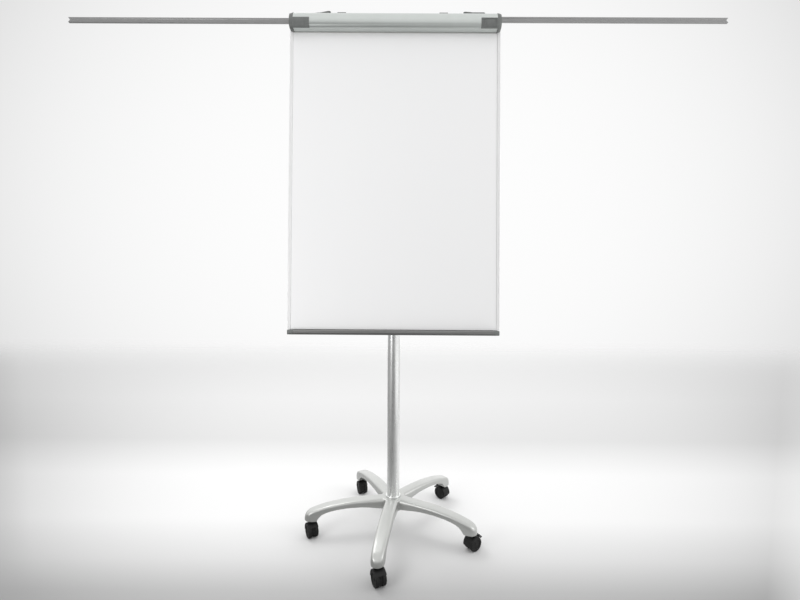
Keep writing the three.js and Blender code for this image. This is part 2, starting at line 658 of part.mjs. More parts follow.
/** The end cap of the jaw, with a plain badge plate that laps over the jaw's front. */
function jawCap(side) {
  const line = jawLine();
  const rimTop = [ROD_W, ROD_V + JAW_RIM_RADIUS];
  const plate = [...offset(line, CAP_PROUD), [CAP_BACK, LIP_V - 0.4], [CAP_BACK, ROD_V + 6], rimTop];
  const badgeOuter = offset(line, BADGE_PROUD);
  const badgeInner = offset(line, GAP).reverse();
  const place = (section, from, to) => (side > 0
    ? alongBoard(section, from, to)
    : alongBoard(section, -to, -from));
  const window = place(rectangle(15, BADGE_V[0], 40, BADGE_V[1]), BADGE_FROM - 1, CAP_END);
  const badge = common(place([...badgeOuter, ...badgeInner], BADGE_FROM, CLAMP_HALF + 1), window);
  const capBody = place(plate, CLAMP_HALF + GAP, CAP_END);
  const rodHole = barAlongU(ROD_RADIUS + GAP, ROD_W, ROD_V, side * CLAMP_HALF, side * (ROD_HALF + GAP));
  return cut(join(capBody, badge), rodHole);
}

/** Centre line of a torsion spring on the rod, with a straight leg at each end. */
class SpringLine extends THREE.Curve {
  constructor(start, direction) {
    super();
    this.start = start;
    this.direction = direction;
  }

  getPoint(t, target = new THREE.Vector3()) {
    const legShare = 0.1; // part of the line that each leg takes
    const along = THREE.MathUtils.clamp((t - legShare) / (1 - 2 * legShare), 0, 1);
    const angle = -Math.PI / 2 + 2 * Math.PI * SPRING_TURNS * along;
    const leg = SPRING_LEG * Math.max(legShare - t, t - 1 + legShare, 0) / legShare;
    const u = this.start + this.direction * SPRING_TURNS * SPRING_PITCH * along;
    const w = ROD_W + SPRING_COIL * Math.sin(angle);
    const v = ROD_V + SPRING_COIL * Math.cos(angle) - leg;
    return target.set(u, -w, v);
  }
}

/** A torsion spring that closes the jaw; side is -1 left, +1 right. */
function jawSpring(side) {
  const section = new THREE.Shape(flat(arc(0, 0, SPRING_WIRE, 0, 288, 4)));
  const path = new SpringLine(side * SPRING_FROM, side);
  return new THREE.ExtrudeGeometry(section, { extrudePath: path, steps: 40, bevelEnabled: false });
}

/** A sliding saddle in the rail's slot, with a tongue and a peg that carries the pad. */
function padHook(u) {
  const saddle = alongBoard([[-13, RAIL_TOP + GAP], [-13, PAD_HOOK_TOP - 3], [-10, PAD_HOOK_TOP],
    [2, PAD_HOOK_TOP], [5.1, PAD_HOOK_TOP - 3], [5.1, RAIL_TOP + GAP]], u - 14, u + 14);
  const rib = alongBoard(rectangle(HOOK_SLOT[0] + GAP, HOOK_SLOT_FLOOR + GAP, HOOK_SLOT[1] - GAP,
    RAIL_TOP + 1), u - 12, u + 12);
  const tongue = alongBoard(rectangle(RAIL_FRONT + GAP, 1016, 5.1, RAIL_TOP + 1), u - 6, u + 6);
  const peg = bar(3, [u, -4, 1022], [u, -13, 1022], 10);
  return join(saddle, rib, tongue, peg);
}

// ---------------------------------------------------------------- paper arms

/** The space of one arm's track, right through the rail and its end plates. */
function armTrack({ w }) {
  const halfThick = ARM_THICK / 2 + GAP;
  const halfHeight = ARM_HEIGHT / 2 + GAP;
  const section = rectangle(w - halfThick, ARM_V - halfHeight, w + halfThick, ARM_V + halfHeight);
  return alongBoard(section, -BOARD_HALF - 1, BOARD_HALF + 1);
}

/** The double rail behind the board's top edge: the left arm's track lies behind the right's. */
function armRail() {
  const halfHeight = ARM_HEIGHT / 2 + GAP + ARM_RAIL_WALL;
  const [back, front] = ARM_RAIL_W;
  const outline = rectangle(back, ARM_V - halfHeight, front, ARM_V + halfHeight);
  const rail = alongBoard(outline, -ARM_RAIL_HALF, ARM_RAIL_HALF);
  const holes = Object.values(ARMS).map(({ lockU, lockW }) => (
    bar(LOCK_SPINDLE_RADIUS + GAP, [lockU, -lockW, ARM_V + 5], [lockU, -lockW, ARM_V + 20], 12)));
  return cut(rail, ...Object.values(ARMS).map(armTrack), ...holes);
}

/** The end plate of the double rail, with a window for its own side's arm. */
function railEnd(arm) {
  const halfHeight = ARM_HEIGHT / 2 + GAP + ARM_RAIL_WALL + 1;
  const outline = rectangle(ARM_RAIL_W[0] - 1, ARM_V - halfHeight, ARM_RAIL_W[1], ARM_V + halfHeight);
  const inner = arm.side * (ARM_RAIL_HALF + GAP);
  const outer = arm.side * BOARD_HALF;
  return cut(alongBoard(outline, Math.min(inner, outer), Math.max(inner, outer)), armTrack(arm));
}

/** A flat bar arm whose outer end is cut to a shallow fishtail. */
function paperArm({ side, w, tip }) {
  const inner = tip - ARM_LENGTH;
  const low = ARM_V - ARM_HEIGHT / 2;
  const high = ARM_V + ARM_HEIGHT / 2;
  const outline = [[inner, low], [tip, low], [tip - ARM_NOTCH, ARM_V], [tip, high], [inner, high]];
  const sided = outline.map(([u, v]) => [side * u, v]);
  return alongY(sided, -w - ARM_THICK / 2, -w + ARM_THICK / 2);
}

/** The lever that clamps an arm, drawn about its own spindle with its handle towards +X. */
function armLock() {
  const railTop = ARM_V + ARM_HEIGHT / 2 + GAP + ARM_RAIL_WALL;
  const tip = LOCK_LENGTH - LOCK_HANDLE_HALF;
  const handle = [...arc(0, 0, LOCK_HUB_RADIUS, 90, 270, 6),
    ...arc(tip, 0, LOCK_HANDLE_HALF, -90, 90, 6)];
  return join(
    bar(LOCK_SPINDLE_RADIUS, [0, 0, ARM_V + ARM_HEIGHT / 2 + 0.4], [0, 0, LOCK_TOP - 2], 10),
    bar(LOCK_HUB_RADIUS, [0, 0, railTop + 0.5], [0, 0, LOCK_TOP - 2], 12),
    extrude(handle, LOCK_HANDLE_THICK).translate(0, 0, LOCK_TOP - LOCK_HANDLE_THICK),
  );
}

// ---------------------------------------------------------------- assembly

const easel = new THREE.Group();

const base = new THREE.Group();
easel.add(base);
addPart(base, 'base_star', starBase(), SILVER_PAINT);
addPart(base, 'column_foot_ring', footRing(), TUBE_SILVER);
CASTORS.forEach((details, k) => base.add(castor(details, radians(FIRST_LEG_ANGLE + 72 * k))));
addPart(base, 'outer_tube', outerTube(), TUBE_SILVER);
addPart(base, 'guide_bush', guideBush(), DARK_GREY);
addPart(base, 'lock_collar', lockCollar(), DARK_GREY);
addPart(base, 'lock_knob', lockKnob(), BLACK_NYLON);

const head = new THREE.Group();
easel.add(head);
addPart(head, 'inner_tube', innerTube(), TUBE_SILVER);
addPart(head, 'head_bracket', headBracket(), SILVER_PAINT);
addPart(head, 'bracket_bolt', bracketBolt(), STEEL);

const board = new THREE.Group();
board.position.set(0, -BOARD_STANDOFF, BOARD_FOOT);
board.rotation.x = -TILT;
head.add(board);
addPart(board, 'writing_sheet', writingSheet(), PANEL_WHITE);
addPart(board, 'board_core', boardCore(), CORE_GREY);
addPart(board, 'pen_tray', penTray(), TRAY_GREY);
addPart(board, 'top_rail', topRail(), CLAMP_SILVER);
addPart(board, 'hinge_rod', barAlongU(ROD_RADIUS, ROD_W, ROD_V, -ROD_HALF, ROD_HALF), STEEL);
addPart(board, 'clamp_jaw', clampJaw(), CLAMP_SILVER);
addPart(board, 'jaw_grip_strip', gripStrip(), RUBBER);
addPart(board, 'arm_rail', armRail(), ARM_GREY);
for (const [label, arm] of Object.entries(ARMS)) {
  addPart(board, `side_profile_${label}`, sideProfile(arm.side), FRAME_WHITE);
  addPart(board, `tray_cap_${label}`, trayCap(arm.side), CAP_GREY);
  addPart(board, `jaw_cap_${label}`, jawCap(arm.side), CAP_GREY);
  addPart(board, `jaw_spring_${label}`, jawSpring(arm.side), STEEL);
  addPart(board, `pad_hook_${label}`, padHook(PAD_HOOKS[label]), CAP_GREY);
  addPart(board, `rail_end_${label}`, railEnd(arm), DARK_GREY);
  addPart(board, `arm_${label}`, paperArm(arm), ARM_GREY);
  const lock = addPart(board, `arm_lock_${label}`, armLock(), CAP_GREY);
  lock.position.set(arm.lockU, -arm.lockW, 0);
  lock.rotation.z = radians(arm.lockTurn);
}

// Put the origin in the middle of the outer box; the wheels already stand on z = 0.
easel.updateMatrixWorld(true);
const outerBox = new THREE.Box3().setFromObject(easel, true);
easel.position.set(-(outerBox.min.x + outerBox.max.x) / 2, -(outerBox.min.y + outerBox.max.y) / 2, 0);
easel.updateMatrixWorld(true);

export default easel;
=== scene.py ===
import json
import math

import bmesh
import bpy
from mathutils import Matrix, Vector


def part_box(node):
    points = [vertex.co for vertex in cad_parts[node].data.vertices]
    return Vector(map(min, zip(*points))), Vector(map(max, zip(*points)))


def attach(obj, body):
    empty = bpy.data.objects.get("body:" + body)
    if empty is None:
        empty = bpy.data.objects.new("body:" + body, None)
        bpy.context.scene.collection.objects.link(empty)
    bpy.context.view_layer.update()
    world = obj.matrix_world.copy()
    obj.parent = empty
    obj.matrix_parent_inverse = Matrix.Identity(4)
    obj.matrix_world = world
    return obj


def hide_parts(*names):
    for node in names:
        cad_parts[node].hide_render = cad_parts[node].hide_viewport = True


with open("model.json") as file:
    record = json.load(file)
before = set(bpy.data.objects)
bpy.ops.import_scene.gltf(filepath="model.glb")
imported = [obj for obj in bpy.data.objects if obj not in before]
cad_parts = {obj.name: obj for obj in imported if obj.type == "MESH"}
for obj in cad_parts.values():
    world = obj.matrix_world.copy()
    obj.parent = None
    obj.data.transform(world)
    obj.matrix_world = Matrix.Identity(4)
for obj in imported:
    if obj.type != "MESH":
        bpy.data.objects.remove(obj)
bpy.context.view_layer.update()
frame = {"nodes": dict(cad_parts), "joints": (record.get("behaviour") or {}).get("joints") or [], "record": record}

# Flipchart easel: the looks of a writing board with a hinged paper clamp, a pen tray and two
# pull-out paper arms, on a telescopic column over a five-leg star base with castors.
#
# Every piece is drawn in millimetres in one of three places that come from the frame:
#   DEVICE  x to the right, y away from the writer, z up, with the column's axis at x = y = 0
#   BOARD   u to the right, v up the board, w out of the writing surface
#   castor  z up the stem, x from the stem towards the axle, y along the axle

MM = 0.001
GAP = 0.3  # clearance between neighbouring pieces

# ---------- places from the frame

JOINTS = {joint["name"]: joint for joint in frame["joints"]}
SLOTS = {part["node"]: part["material_slot"] for part in frame["record"]["subparts"]}
BODIES = {
    node: body
    for body, nodes in frame["record"]["behaviour"]["bodies"].items()
    for node in nodes
}
PLACES = ["front", "front_right", "back_right", "back_left", "front_left"]
BRAKED = ["front_right", "back_right"]
SIDES = {"left": -1, "right": 1}


def centre(node):
    low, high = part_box(node)
    return (low + high) / 2


COLUMN = centre("outer_tube")
DEVICE = Matrix.Translation((COLUMN.x, COLUMN.y, 0)) @ Matrix.Scale(MM, 4)

ROD_W, ROD_V = 9, 1050  # where the clamp's hinge line crosses a board section
U_AXIS = Vector((1, 0, 0))
V_AXIS = Vector(JOINTS["arm_lock_left_turn"]["axis"])
W_AXIS = U_AXIS.cross(V_AXIS)
BOARD_ORIGIN = Vector(JOINTS["jaw_open"]["pos_m"]) - MM * (ROD_W * W_AXIS + ROD_V * V_AXIS)
BOARD_ORIGIN.x = COLUMN.x
BOARD = Matrix((MM * U_AXIS, MM * V_AXIS, MM * W_AXIS)).transposed().to_4x4()
BOARD.translation = BOARD_ORIGIN


def castor_place(place):
    """The castor's own millimetres: z up its stem, x towards its axle."""
    stem = centre(f"{place}_castor_stem")
    axle = centre(f"{place}_castor_axle")
    heading = math.atan2(axle.y - stem.y, axle.x - stem.x)
    turn = Matrix.Rotation(heading, 4, "Z")
    return Matrix.Translation((stem.x, stem.y, 0)) @ turn @ Matrix.Scale(MM, 4)


def extent(node, place):
    """The lowest and highest corners of a CAD node in a place's millimetres."""
    inverse = place.inverted()
    points = [inverse @ vertex.co for vertex in frame["nodes"][node].data.vertices]
    low = Vector([min(p[axis] for p in points) for axis in range(3)])
    high = Vector([max(p[axis] for p in points) for axis in range(3)])
    return low, high


# ---------- camera

CAMERA_PLACE = Vector((0.0265, -1.5925, 0.96385))  # metres from the column's foot
CAMERA_PITCH = 0.0754  # radians, downwards
CAMERA_YAW = 0.0035
CAMERA_ROLL = 0.0062
LENS = 20.21  # millimetres on a sensor 36 wide


def add_camera():
    camera = bpy.data.objects.new("camera", bpy.data.cameras.new("camera"))
    camera.data.lens = LENS
    camera.data.sensor_width = 36
    camera.data.clip_start = 0.01
    camera.data.clip_end = 200
    foot = Vector((COLUMN.x, COLUMN.y, 0))
    camera.matrix_world = (
        Matrix.Translation(foot + CAMERA_PLACE)
        @ Matrix.Rotation(CAMERA_YAW, 4, "Z")
        @ Matrix.Rotation(math.pi / 2 - CAMERA_PITCH, 4, "X")
        @ Matrix.Rotation(CAMERA_ROLL, 4, "Z")
    )
    bpy.context.scene.collection.objects.link(camera)
    bpy.context.scene.camera = camera


# ---------- outlines


def fillet(corners, radius, steps=4):
    """Rounds a closed outline's corners; a corner's own radius may be its third number."""
    outline = []
    for k, corner in enumerate(corners):
        here = Vector(corner[:2])
        size = corner[2] if len(corner) > 2 else radius
        before = Vector(corners[k - 1][:2]) - here
        after = Vector(corners[(k + 1) % len(corners)][:2]) - here
        half = before.angle(after) / 2
        reach = min(size / max(math.tan(half), 0.01), 0.48 * before.length, 0.48 * after.length)
        if size <= 0 or half > 0.48 * math.pi:
            outline.append(tuple(here))
            continue
        start = here + before.normalized() * reach
        end = here + after.normalized() * reach
        for step in range(steps + 1):
            t = step / steps
            outline.append(tuple(start * (1 - t) ** 2 + here * (2 * t * (1 - t)) + end * t * t))
    return outline


def arc(centre_a, centre_b, radius, start, end, steps):
    """Points on an arc, with angles in degrees."""
    angles = [math.radians(start + (end - start) * k / steps) for k in range(steps + 1)]
    return [(centre_a + radius * math.cos(a), centre_b + radius * math.sin(a)) for a in angles]


def spline(points, steps):
    """A smooth line through the points, with a number of steps from each to the next."""
    line = []
    for k in range(len(points) - 1):
        p0, p1, p2 = points[max(k - 1, 0)], points[k], points[k + 1]
        p3 = points[min(k + 2, len(points) - 1)]
        for step in range(steps):
            t = step / steps
            line.append(tuple(
                b + t * ((c - a) / 2 + t * (a - 2.5 * b + 2 * c - d / 2 + t * (1.5 * (b - c) + (d - a) / 2)))
                for a, b, c, d in zip(p0, p1, p2, p3)
            ))
    return line + [tuple(points[-1])]


def offset(points, distance):
    """Moves an open line sideways, to its left when the distance is positive."""
    moved = []
    for k, (a, b) in enumerate(points):
        before, after = points[max(k - 1, 0)], points[min(k + 1, len(points) - 1)]
        along = Vector((after[0] - before[0], after[1] - before[1])).normalized()
        moved.append((a - along.y * distance, b + along.x * distance))
    return moved


def rectangle(a0, b0, a1, b1, radius=0):
    corners = [(a0, b0), (a1, b0), (a1, b1), (a0, b1)]
    return fillet(corners, radius) if radius else corners


# ---------- meshes, in millimetres

ALONG_U = lambda w, v, t: (t, v, w)  # a (w, v) board section drawn along u
ALONG_V = lambda u, w, t: (u, t, w)  # a (u, w) board section drawn along v
ALONG_W = lambda u, v, t: (u, v, t)
ALONG_X = lambda y, z, t: (t, y, z)
ALONG_Y = lambda x, z, t: (x, t, z)
ALONG_Z = ALONG_W


def new_mesh(points, faces):
    """Mesh data with merged corners, no loose edges and its faces pointing out."""
    shape = bmesh.new()
    corners = [shape.verts.new(point) for point in points]
    for face in faces:
        shape.faces.new([corners[k] for k in face])
    bmesh.ops.remove_doubles(shape, verts=shape.verts, dist=1e-4)
    loose = [edge for edge in shape.edges if not edge.link_faces]
    bmesh.ops.delete(shape, geom=loose, context="EDGES")
    bmesh.ops.recalc_face_normals(shape, faces=shape.faces)
    mesh = bpy.data.meshes.new("work")
    shape.to_mesh(mesh)
    shape.free()
    return mesh


def loft(rings, capped=True):
    """A skin through rings of points; its ends are capped, or else joined to each other."""
    count = len(rings[0])
    points = [point for ring in rings for point in ring]
    faces = []
    for i in range(len(rings) - 1 if capped else len(rings)):
        a, b = i * count, (i + 1) % len(rings) * count
        faces += [(a + k, a + (k + 1) % count, b + (k + 1) % count, b + k) for k in range(count)]
    if capped:
        faces += [tuple(range(count)), tuple(range(len(points) - count, len(points)))]
    return new_mesh(points, faces)


def extrude(section, start, end, along):
    return loft([[along(a, b, t) for a, b in section] for t in (start, end)])


def turned(profile, along=ALONG_Z, at=(0, 0, 0), segments=64):
    """A solid of revolution from (radius, height) points about the line through at."""
    rings = []
    for k in range(segments):
        angle = 2 * math.pi * k / segments
        spin = [(r * math.cos(angle), r * math.sin(angle), h) for r, h in profile]
        rings.append([Vector(along(*point)) + Vector(at) for point in spin])
    return loft(rings, capped=False)


def plain_bar(radius, start, end):
    """A profile for turned(): a solid bar with sharp ends."""
    return [(0, start), (radius, start), (radius, end), (0, end)]


def rounded_bar(radius, start, end, edge=0.5):
    """A profile for turned(): a solid bar with rounded ends."""
    return [(0, start)] + fillet(plain_bar(radius, start, end), edge)[5:-5] + [(0, end)]


def sweep(path, radius, sides=10):
    """A round wire along a path of points."""
    rings = []
    normal = Vector((0, 0, 1))
    for k, point in enumerate(path):
        ahead = Vector(path[min(k + 1, len(path) - 1)]) - Vector(path[max(k - 1, 0)])
        ahead.normalize()
        normal = (normal - ahead * normal.dot(ahead)).normalized()
        side = ahead.cross(normal)
        angles = [2 * math.pi * j / sides for j in range(sides)]
        rings.append([
            Vector(point) + radius * (math.cos(a) * normal + math.sin(a) * side) for a in angles
        ])
    return loft(rings)


def work_object(mesh):
    work = bpy.data.objects.new("work", mesh)
    bpy.context.scene.collection.objects.link(work)
    return work


def modified(mesh, *steps):
    """The mesh after (modifier type, settings) steps; the mesh that came in is used up."""
    work = work_object(mesh)
    for kind, settings in steps:
        modifier = work.modifiers.new(kind, kind)
        for name, value in settings.items():
            setattr(modifier, name, value)
    graph = bpy.context.evaluated_depsgraph_get()
    result = bpy.data.meshes.new_from_object(work.evaluated_get(graph))
    bpy.data.objects.remove(work)
    bpy.data.meshes.remove(mesh)
    return result


def combine(base, tools, operation):
    helpers = [work_object(tool) for tool in tools]
    settings = {"operation": operation, "solver": "EXACT"}
    result = modified(base, *[("BOOLEAN", {**settings, "object": helper}) for helper in helpers])
    for helper in helpers:
        tool = helper.data
        bpy.data.objects.remove(helper)
        bpy.data.meshes.remove(tool)
    return result


def unite(base, *tools):
    return combine(base, tools, "UNION")


def cut(base, *tools):
    return combine(base, tools, "DIFFERENCE")


def soften(mesh, width, angle=35, segments=3):
    """Rounds every edge that is sharper than the angle."""
    settings = {"width": width, "segments": segments, "limit_method": "ANGLE"}
    return modified(mesh, ("BEVEL", {**settings, "angle_limit": math.radians(angle)}))


def smooth_bar(section, start, end, along, edge=0.25):
    """An extrusion with its sharp edges just broken."""
    return soften(extrude(section, start, end, along), edge, 60, 2)


def moved(mesh, matrix):
    mesh.transform(matrix)
    return mesh


def merged(meshes):
    """One mesh that holds several, left as they are."""
    shape = bmesh.new()
    for mesh in meshes:
        shape.from_mesh(mesh)
        bpy.data.meshes.remove(mesh)
    result = bpy.data.meshes.new("work")
    shape.to_mesh(result)
    shape.free()
    return result


def show(name, mesh, place, body, slot, sharp=40):
    """Makes a piece of the object from a mesh, and lets it ride on a body."""
    mesh.transform(place)
    mesh.shade_smooth()
    mesh.set_sharp_from_angle(angle=math.radians(sharp))
    mesh = modified(mesh, ("WEIGHTED_NORMAL", {"keep_sharp": True, "weight": 50}))
    mesh.name = name
    mesh.materials.clear()
    mesh.materials.append(FINISHES[slot])
    piece = bpy.data.objects.new(name, mesh)
    bpy.context.scene.collection.objects.link(piece)
    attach(piece, body)
    return piece


def install(node, mesh, place, sharp=40):
    """Shows a finished piece in place of its CAD node."""
    piece = show(f"{node}_piece", mesh, place, BODIES[node], SLOTS[node], sharp)
    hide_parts(node)
    return piece


# ---------- materials


class Graph:
    """Short ways to add nodes to a node tree."""

    def __init__(self, tree):
        self.tree = tree

    def put(self, socket, value):
        """Links a value to an input when it comes from a node, and else sets it."""
        if isinstance(value, bpy.types.NodeSocket):
            self.tree.links.new(value, socket)
        else:
            socket.default_value = value

    def node(self, kind, **settings):
        """Adds a node; each setting is a node property, or an input named with _ for spaces."""
        made = self.tree.nodes.new("ShaderNode" + kind)
        for name, value in settings.items():
            socket = made.inputs.get(name.replace("_", " "))
            if socket is None:
                setattr(made, name, value)
            else:
                self.put(socket, value)
        return made

    def math(self, operation, first, second=0.0):
        made = self.node("Math", operation=operation)
        self.put(made.inputs[0], first)
        self.put(made.inputs[1], second)
        return made.outputs[0]

    def ranged(self, value, low, high, start=0.3, end=0.7, kind="LINEAR"):
        settings = {"Value": value, "From_Min": start, "From_Max": end, "To_Min": low, "To_Max": high}
        return self.node("MapRange", interpolation_type=kind, **settings).outputs[0]


class Finish(Graph):
    """A procedural material in the piece's own coordinates, round one Principled shader."""

    def __init__(self, name, metallic=0.0, coat=0.0, specular=0.5):
        self.material = bpy.data.materials.new(name)
        self.material.use_nodes = True
        super().__init__(self.material.node_tree)
        self.shader = self.tree.nodes["Principled BSDF"]
        self.shader.inputs["Metallic"].default_value = metallic
        self.shader.inputs["Coat Weight"].default_value = coat
        self.shader.inputs["Coat Roughness"].default_value = 0.1
        self.shader.inputs["Specular IOR Level"].default_value = specular
        self.place = self.tree.nodes.new("ShaderNodeTexCoord").outputs["Object"]

    def noise(self, size, stretch=(1, 1, 1), detail=2.0, rough=0.5):
        """Noise with lumps of a size in millimetres, drawn out along an axis with a small stretch."""
        place = self.node("Mapping", Vector=self.place, Scale=stretch).outputs[0]
        scale = 1 / (size * MM)
        return self.node("TexNoise", Vector=place, Scale=scale, Detail=detail, Roughness=rough).outputs[0]

    def mixed(self, factor, first, second):
        mix = self.node("Mix", data_type="RGBA")
        for socket, value in ((mix.inputs[0], factor), (mix.inputs[6], first), (mix.inputs[7], second)):
            self.put(socket, value)
        return mix.outputs[2]

    def toned(self, value, colour, low, high, start=0.3, end=0.7):
        """A colour whose tone goes from one factor to another with a value."""
        return self.mixed(self.ranged(value, 0, 1, start, end), shade(colour, low), shade(colour, high))

    def colour(self, value):
        self.tree.links.new(value, self.shader.inputs["Base Color"])

    def roughness(self, value, low, high):
        self.tree.links.new(self.ranged(value, low, high), self.shader.inputs["Roughness"])

    def bump(self, height, depth, strength=1.0):
        """Relief from a height of 0 to 1, with a depth in millimetres."""
        bump = self.node("Bump", Strength=strength, Distance=depth * MM, Height=height)
        last = self.shader.inputs["Normal"]
        if last.is_linked:
            self.tree.links.new(last.links[0].from_socket, bump.inputs["Normal"])
        self.tree.links.new(bump.outputs[0], last)

    def edges(self):
        """Near 1 on outer edges, where handling polishes or chips the surface."""
        pointed = self.node("NewGeometry").outputs["Pointiness"]
        return self.ranged(pointed, 0.0, 1.0, 0.52, 0.60)


def grey(tone, green=1.0, blue=1.0):
    """A linear colour from a grey tone with a slight cast."""
    return (tone, tone * green, tone * blue, 1.0)


def shade(colour, factor):
    return (colour[0] * factor, colour[1] * factor, colour[2] * factor, 1.0)


def powder_coat(name, colour, roughness, metallic, orange_peel=0.02):
    """Satin paint: fine orange peel, tiny flakes and a slow drift in tone."""
    finish = Finish(name, metallic, coat=0.4)
    base = finish.toned(finish.noise(60), colour, 0.975, 1.015)
    flakes = finish.ranged(finish.noise(0.5, detail=0), 0, 0.3, 0.55, 0.75)
    finish.colour(finish.mixed(flakes, base, shade(colour, 1.06)))
    finish.roughness(finish.noise(9, detail=4), roughness - 0.04, roughness + 0.05)
    finish.bump(finish.noise(1.6, detail=1), orange_peel)
    return finish.material


def satin_tube(name, colour, roughness, metallic):
    """Plated and lacquered tube: faint lines along its length, and roughness that drifts."""
    finish = Finish(name, metallic, coat=0.1)
    lines = finish.noise(0.8, (1, 1, 0.003), detail=2)
    cloud = finish.noise(40, (1, 1, 0.4), detail=3)
    finish.colour(finish.toned(cloud, colour, 0.98, 1.01))
    finish.roughness(finish.mixed(0.35, cloud, lines), roughness - 0.04, roughness + 0.05)
    return finish.material


def extruded_aluminium(name, colour, roughness, stretch, metallic=0.85):
    """Anodised extrusion: hairlines along its length, and cloudy patches of anodising."""
    finish = Finish(name, metallic)
    hairlines = finish.noise(0.35, stretch, detail=3)
    bands = finish.ranged(finish.noise(5, stretch, detail=2), 0, 0.5)
    cloud = finish.toned(finish.noise(45), colour, 0.97, 1.02)
    finish.colour(finish.mixed(bands, cloud, shade(colour, 0.93)))
    finish.roughness(hairlines, roughness - 0.06, roughness + 0.08)
    finish.bump(hairlines, 0.012)
    return finish.material


def moulded_plastic(name, colour, roughness, grain, wear=0.25, specular=0.5):
    """Spark-eroded mould grain, with edges rubbed a little lighter."""
    finish = Finish(name, specular=specular)
    cells = finish.node("TexVoronoi", Vector=finish.place, Scale=1 / (grain * MM)).outputs[0]
    drift = finish.toned(finish.noise(25), colour, 0.88, 1.1)
    rubbed = finish.math("MULTIPLY", finish.edges(), wear)
    lighter = tuple(min(1.0, 1.6 * part + 0.03) for part in colour[:3]) + (1.0,)
    finish.colour(finish.mixed(rubbed, drift, lighter))
    finish.roughness(finish.noise(6, detail=4), roughness - 0.07, roughness + 0.08)
    finish.bump(cells, 0.03)
    return finish.material


def board_lacquer(name, colour):
    """Glossy lacquered steel with the faint smears that a wiped board keeps."""
    finish = Finish(name, coat=0.2)
    smears = finish.noise(70, (1, 1, 0.35), detail=5, rough=0.6)
    finish.colour(finish.toned(smears, colour, 0.998, 1))
    finish.roughness(smears, 0.28, 0.32)
    return finish.material


def laminate(name, colour):
    """Paper-faced core board: short fibres and a slightly mottled sheet."""
    finish = Finish(name)
    fibres = finish.noise(0.9, (0.25, 1, 1), detail=4)
    finish.colour(finish.toned(finish.noise(30, detail=3), colour, 0.94, 1.03))
    finish.roughness(fibres, 0.55, 0.75)
    finish.bump(fibres, 0.05)
    return finish.material


def rubber(name, colour, dust, roughness):
    """Dull rubber or tread that holds a little pale floor dust."""
    finish = Finish(name, specular=0.2)
    patches = finish.ranged(finish.noise(5, detail=5, rough=0.65), 0, dust, 0.5, 0.8)
    finish.colour(finish.mixed(patches, colour, grey(0.30, 0.99, 0.96)))
    finish.roughness(finish.noise(3, detail=3), roughness - 0.06, roughness + 0.1)
    finish.bump(finish.noise(0.7, detail=2), 0.06)
    return finish.material


def plated_steel(name, colour):
    """Zinc plate: fine turning lines with cloudy spangles."""
    finish = Finish(name, metallic=1.0)
    spangles = finish.node("TexVoronoi", Vector=finish.place, Scale=1 / (3 * MM)).outputs[1]
    tone = finish.node("SeparateColor", Color=spangles).outputs[0]
    finish.colour(finish.toned(tone, colour, 0.9, 1.05, 0, 1))
    finish.roughness(finish.noise(1.2, detail=3), 0.24, 0.4)
    finish.bump(finish.noise(0.4, detail=1), 0.008)
    return finish.material


BRUSHED = (0.004, 1, 1)  # stretch of the hairlines on an extrusion that lies along x

FINISHES = {
    name: make(name, *settings)
    for name, make, *settings in (
        ("silver_paint", powder_coat, grey(0.47, 1.015, 0.985), 0.38, 0.7),
        ("column_silver", satin_tube, grey(0.80, 1.01, 1.0), 0.28, 0.85),
        ("clamp_aluminium", extruded_aluminium, grey(0.60, 1.05, 1.02), 0.36, BRUSHED),
        ("tray_aluminium", extruded_aluminium, grey(0.26, 1.0, 0.985), 0.38, BRUSHED),
        ("arm_aluminium", extruded_aluminium, grey(0.31), 0.42, BRUSHED, 0.6),
        ("white_enamel", board_lacquer, grey(0.955, 1.0, 1.003)),
        ("frame_white", powder_coat, grey(0.86), 0.38, 0.0, 0.01),
        ("board_core", laminate, grey(0.62, 0.995, 0.97)),
        ("cap_grey", moulded_plastic, grey(0.16, 1.05, 1.02), 0.48, 0.5),
        ("dark_plastic", moulded_plastic, grey(0.075, 1.02, 1.03), 0.5, 0.5),
        ("black_nylon", moulded_plastic, grey(0.010), 0.45, 0.6, 0.12, 0.22),
        ("castor_tread", rubber, grey(0.011), 0.05, 0.5),
        ("zinc_steel", plated_steel, grey(0.55, 1.0, 1.01)),
        ("grip_rubber", rubber, grey(0.012), 0.05, 0.75),
    )
}

# ---------- star base

LEG_REACH = 297
FIRST_LEG_ANGLE = -98
HUB_TOP = 123.5
HUB_RADIUS = 44
HUB_UNDERSIDE = 84
SOCKET_FLOOR = 92
SOCKET_RADIUS = 22.8
LEG_HALF_WIDTH_AT_HUB = 25.5
LEG_HALF_WIDTH_AT_TIP = 21.5
LEG_WALL = 4
LEG_SQUARENESS = 0.4  # exponent of the superellipse leg section, 1 is an ellipse
TIP_UNDERSIDE = 60
LEG_START = 30  # a leg's inner end, inside the hub's wall
HOLLOW_START = 48
HOLLOW_END = 268
# Cross-sections along a leg: crown radius and height, lower edge radius and height
LEG_SECTIONS = [
    (LEG_START, HUB_TOP, LEG_START, 88.5), (HOLLOW_START, HUB_TOP, HOLLOW_START, 90),
    (110, HUB_TOP - 0.5, 107, 98.5), (158, 121, 155, 100), (204, 116, 196, 97.5),
    (243, 110, 230, 92), (273, 102.5, 256, 83.5), (291, 97.5, 270, 71),
    (303, 92, 279, TIP_UNDERSIDE), (312, 84.5, 297, TIP_UNDERSIDE),
    (317, 75.5, 312, TIP_UNDERSIDE), (319, 66, 318.5, TIP_UNDERSIDE),
]
RIB_PLACES = (92, 136, 180)  # stiffening ribs across the hollow of a leg
BASE_VOXEL = 1.5


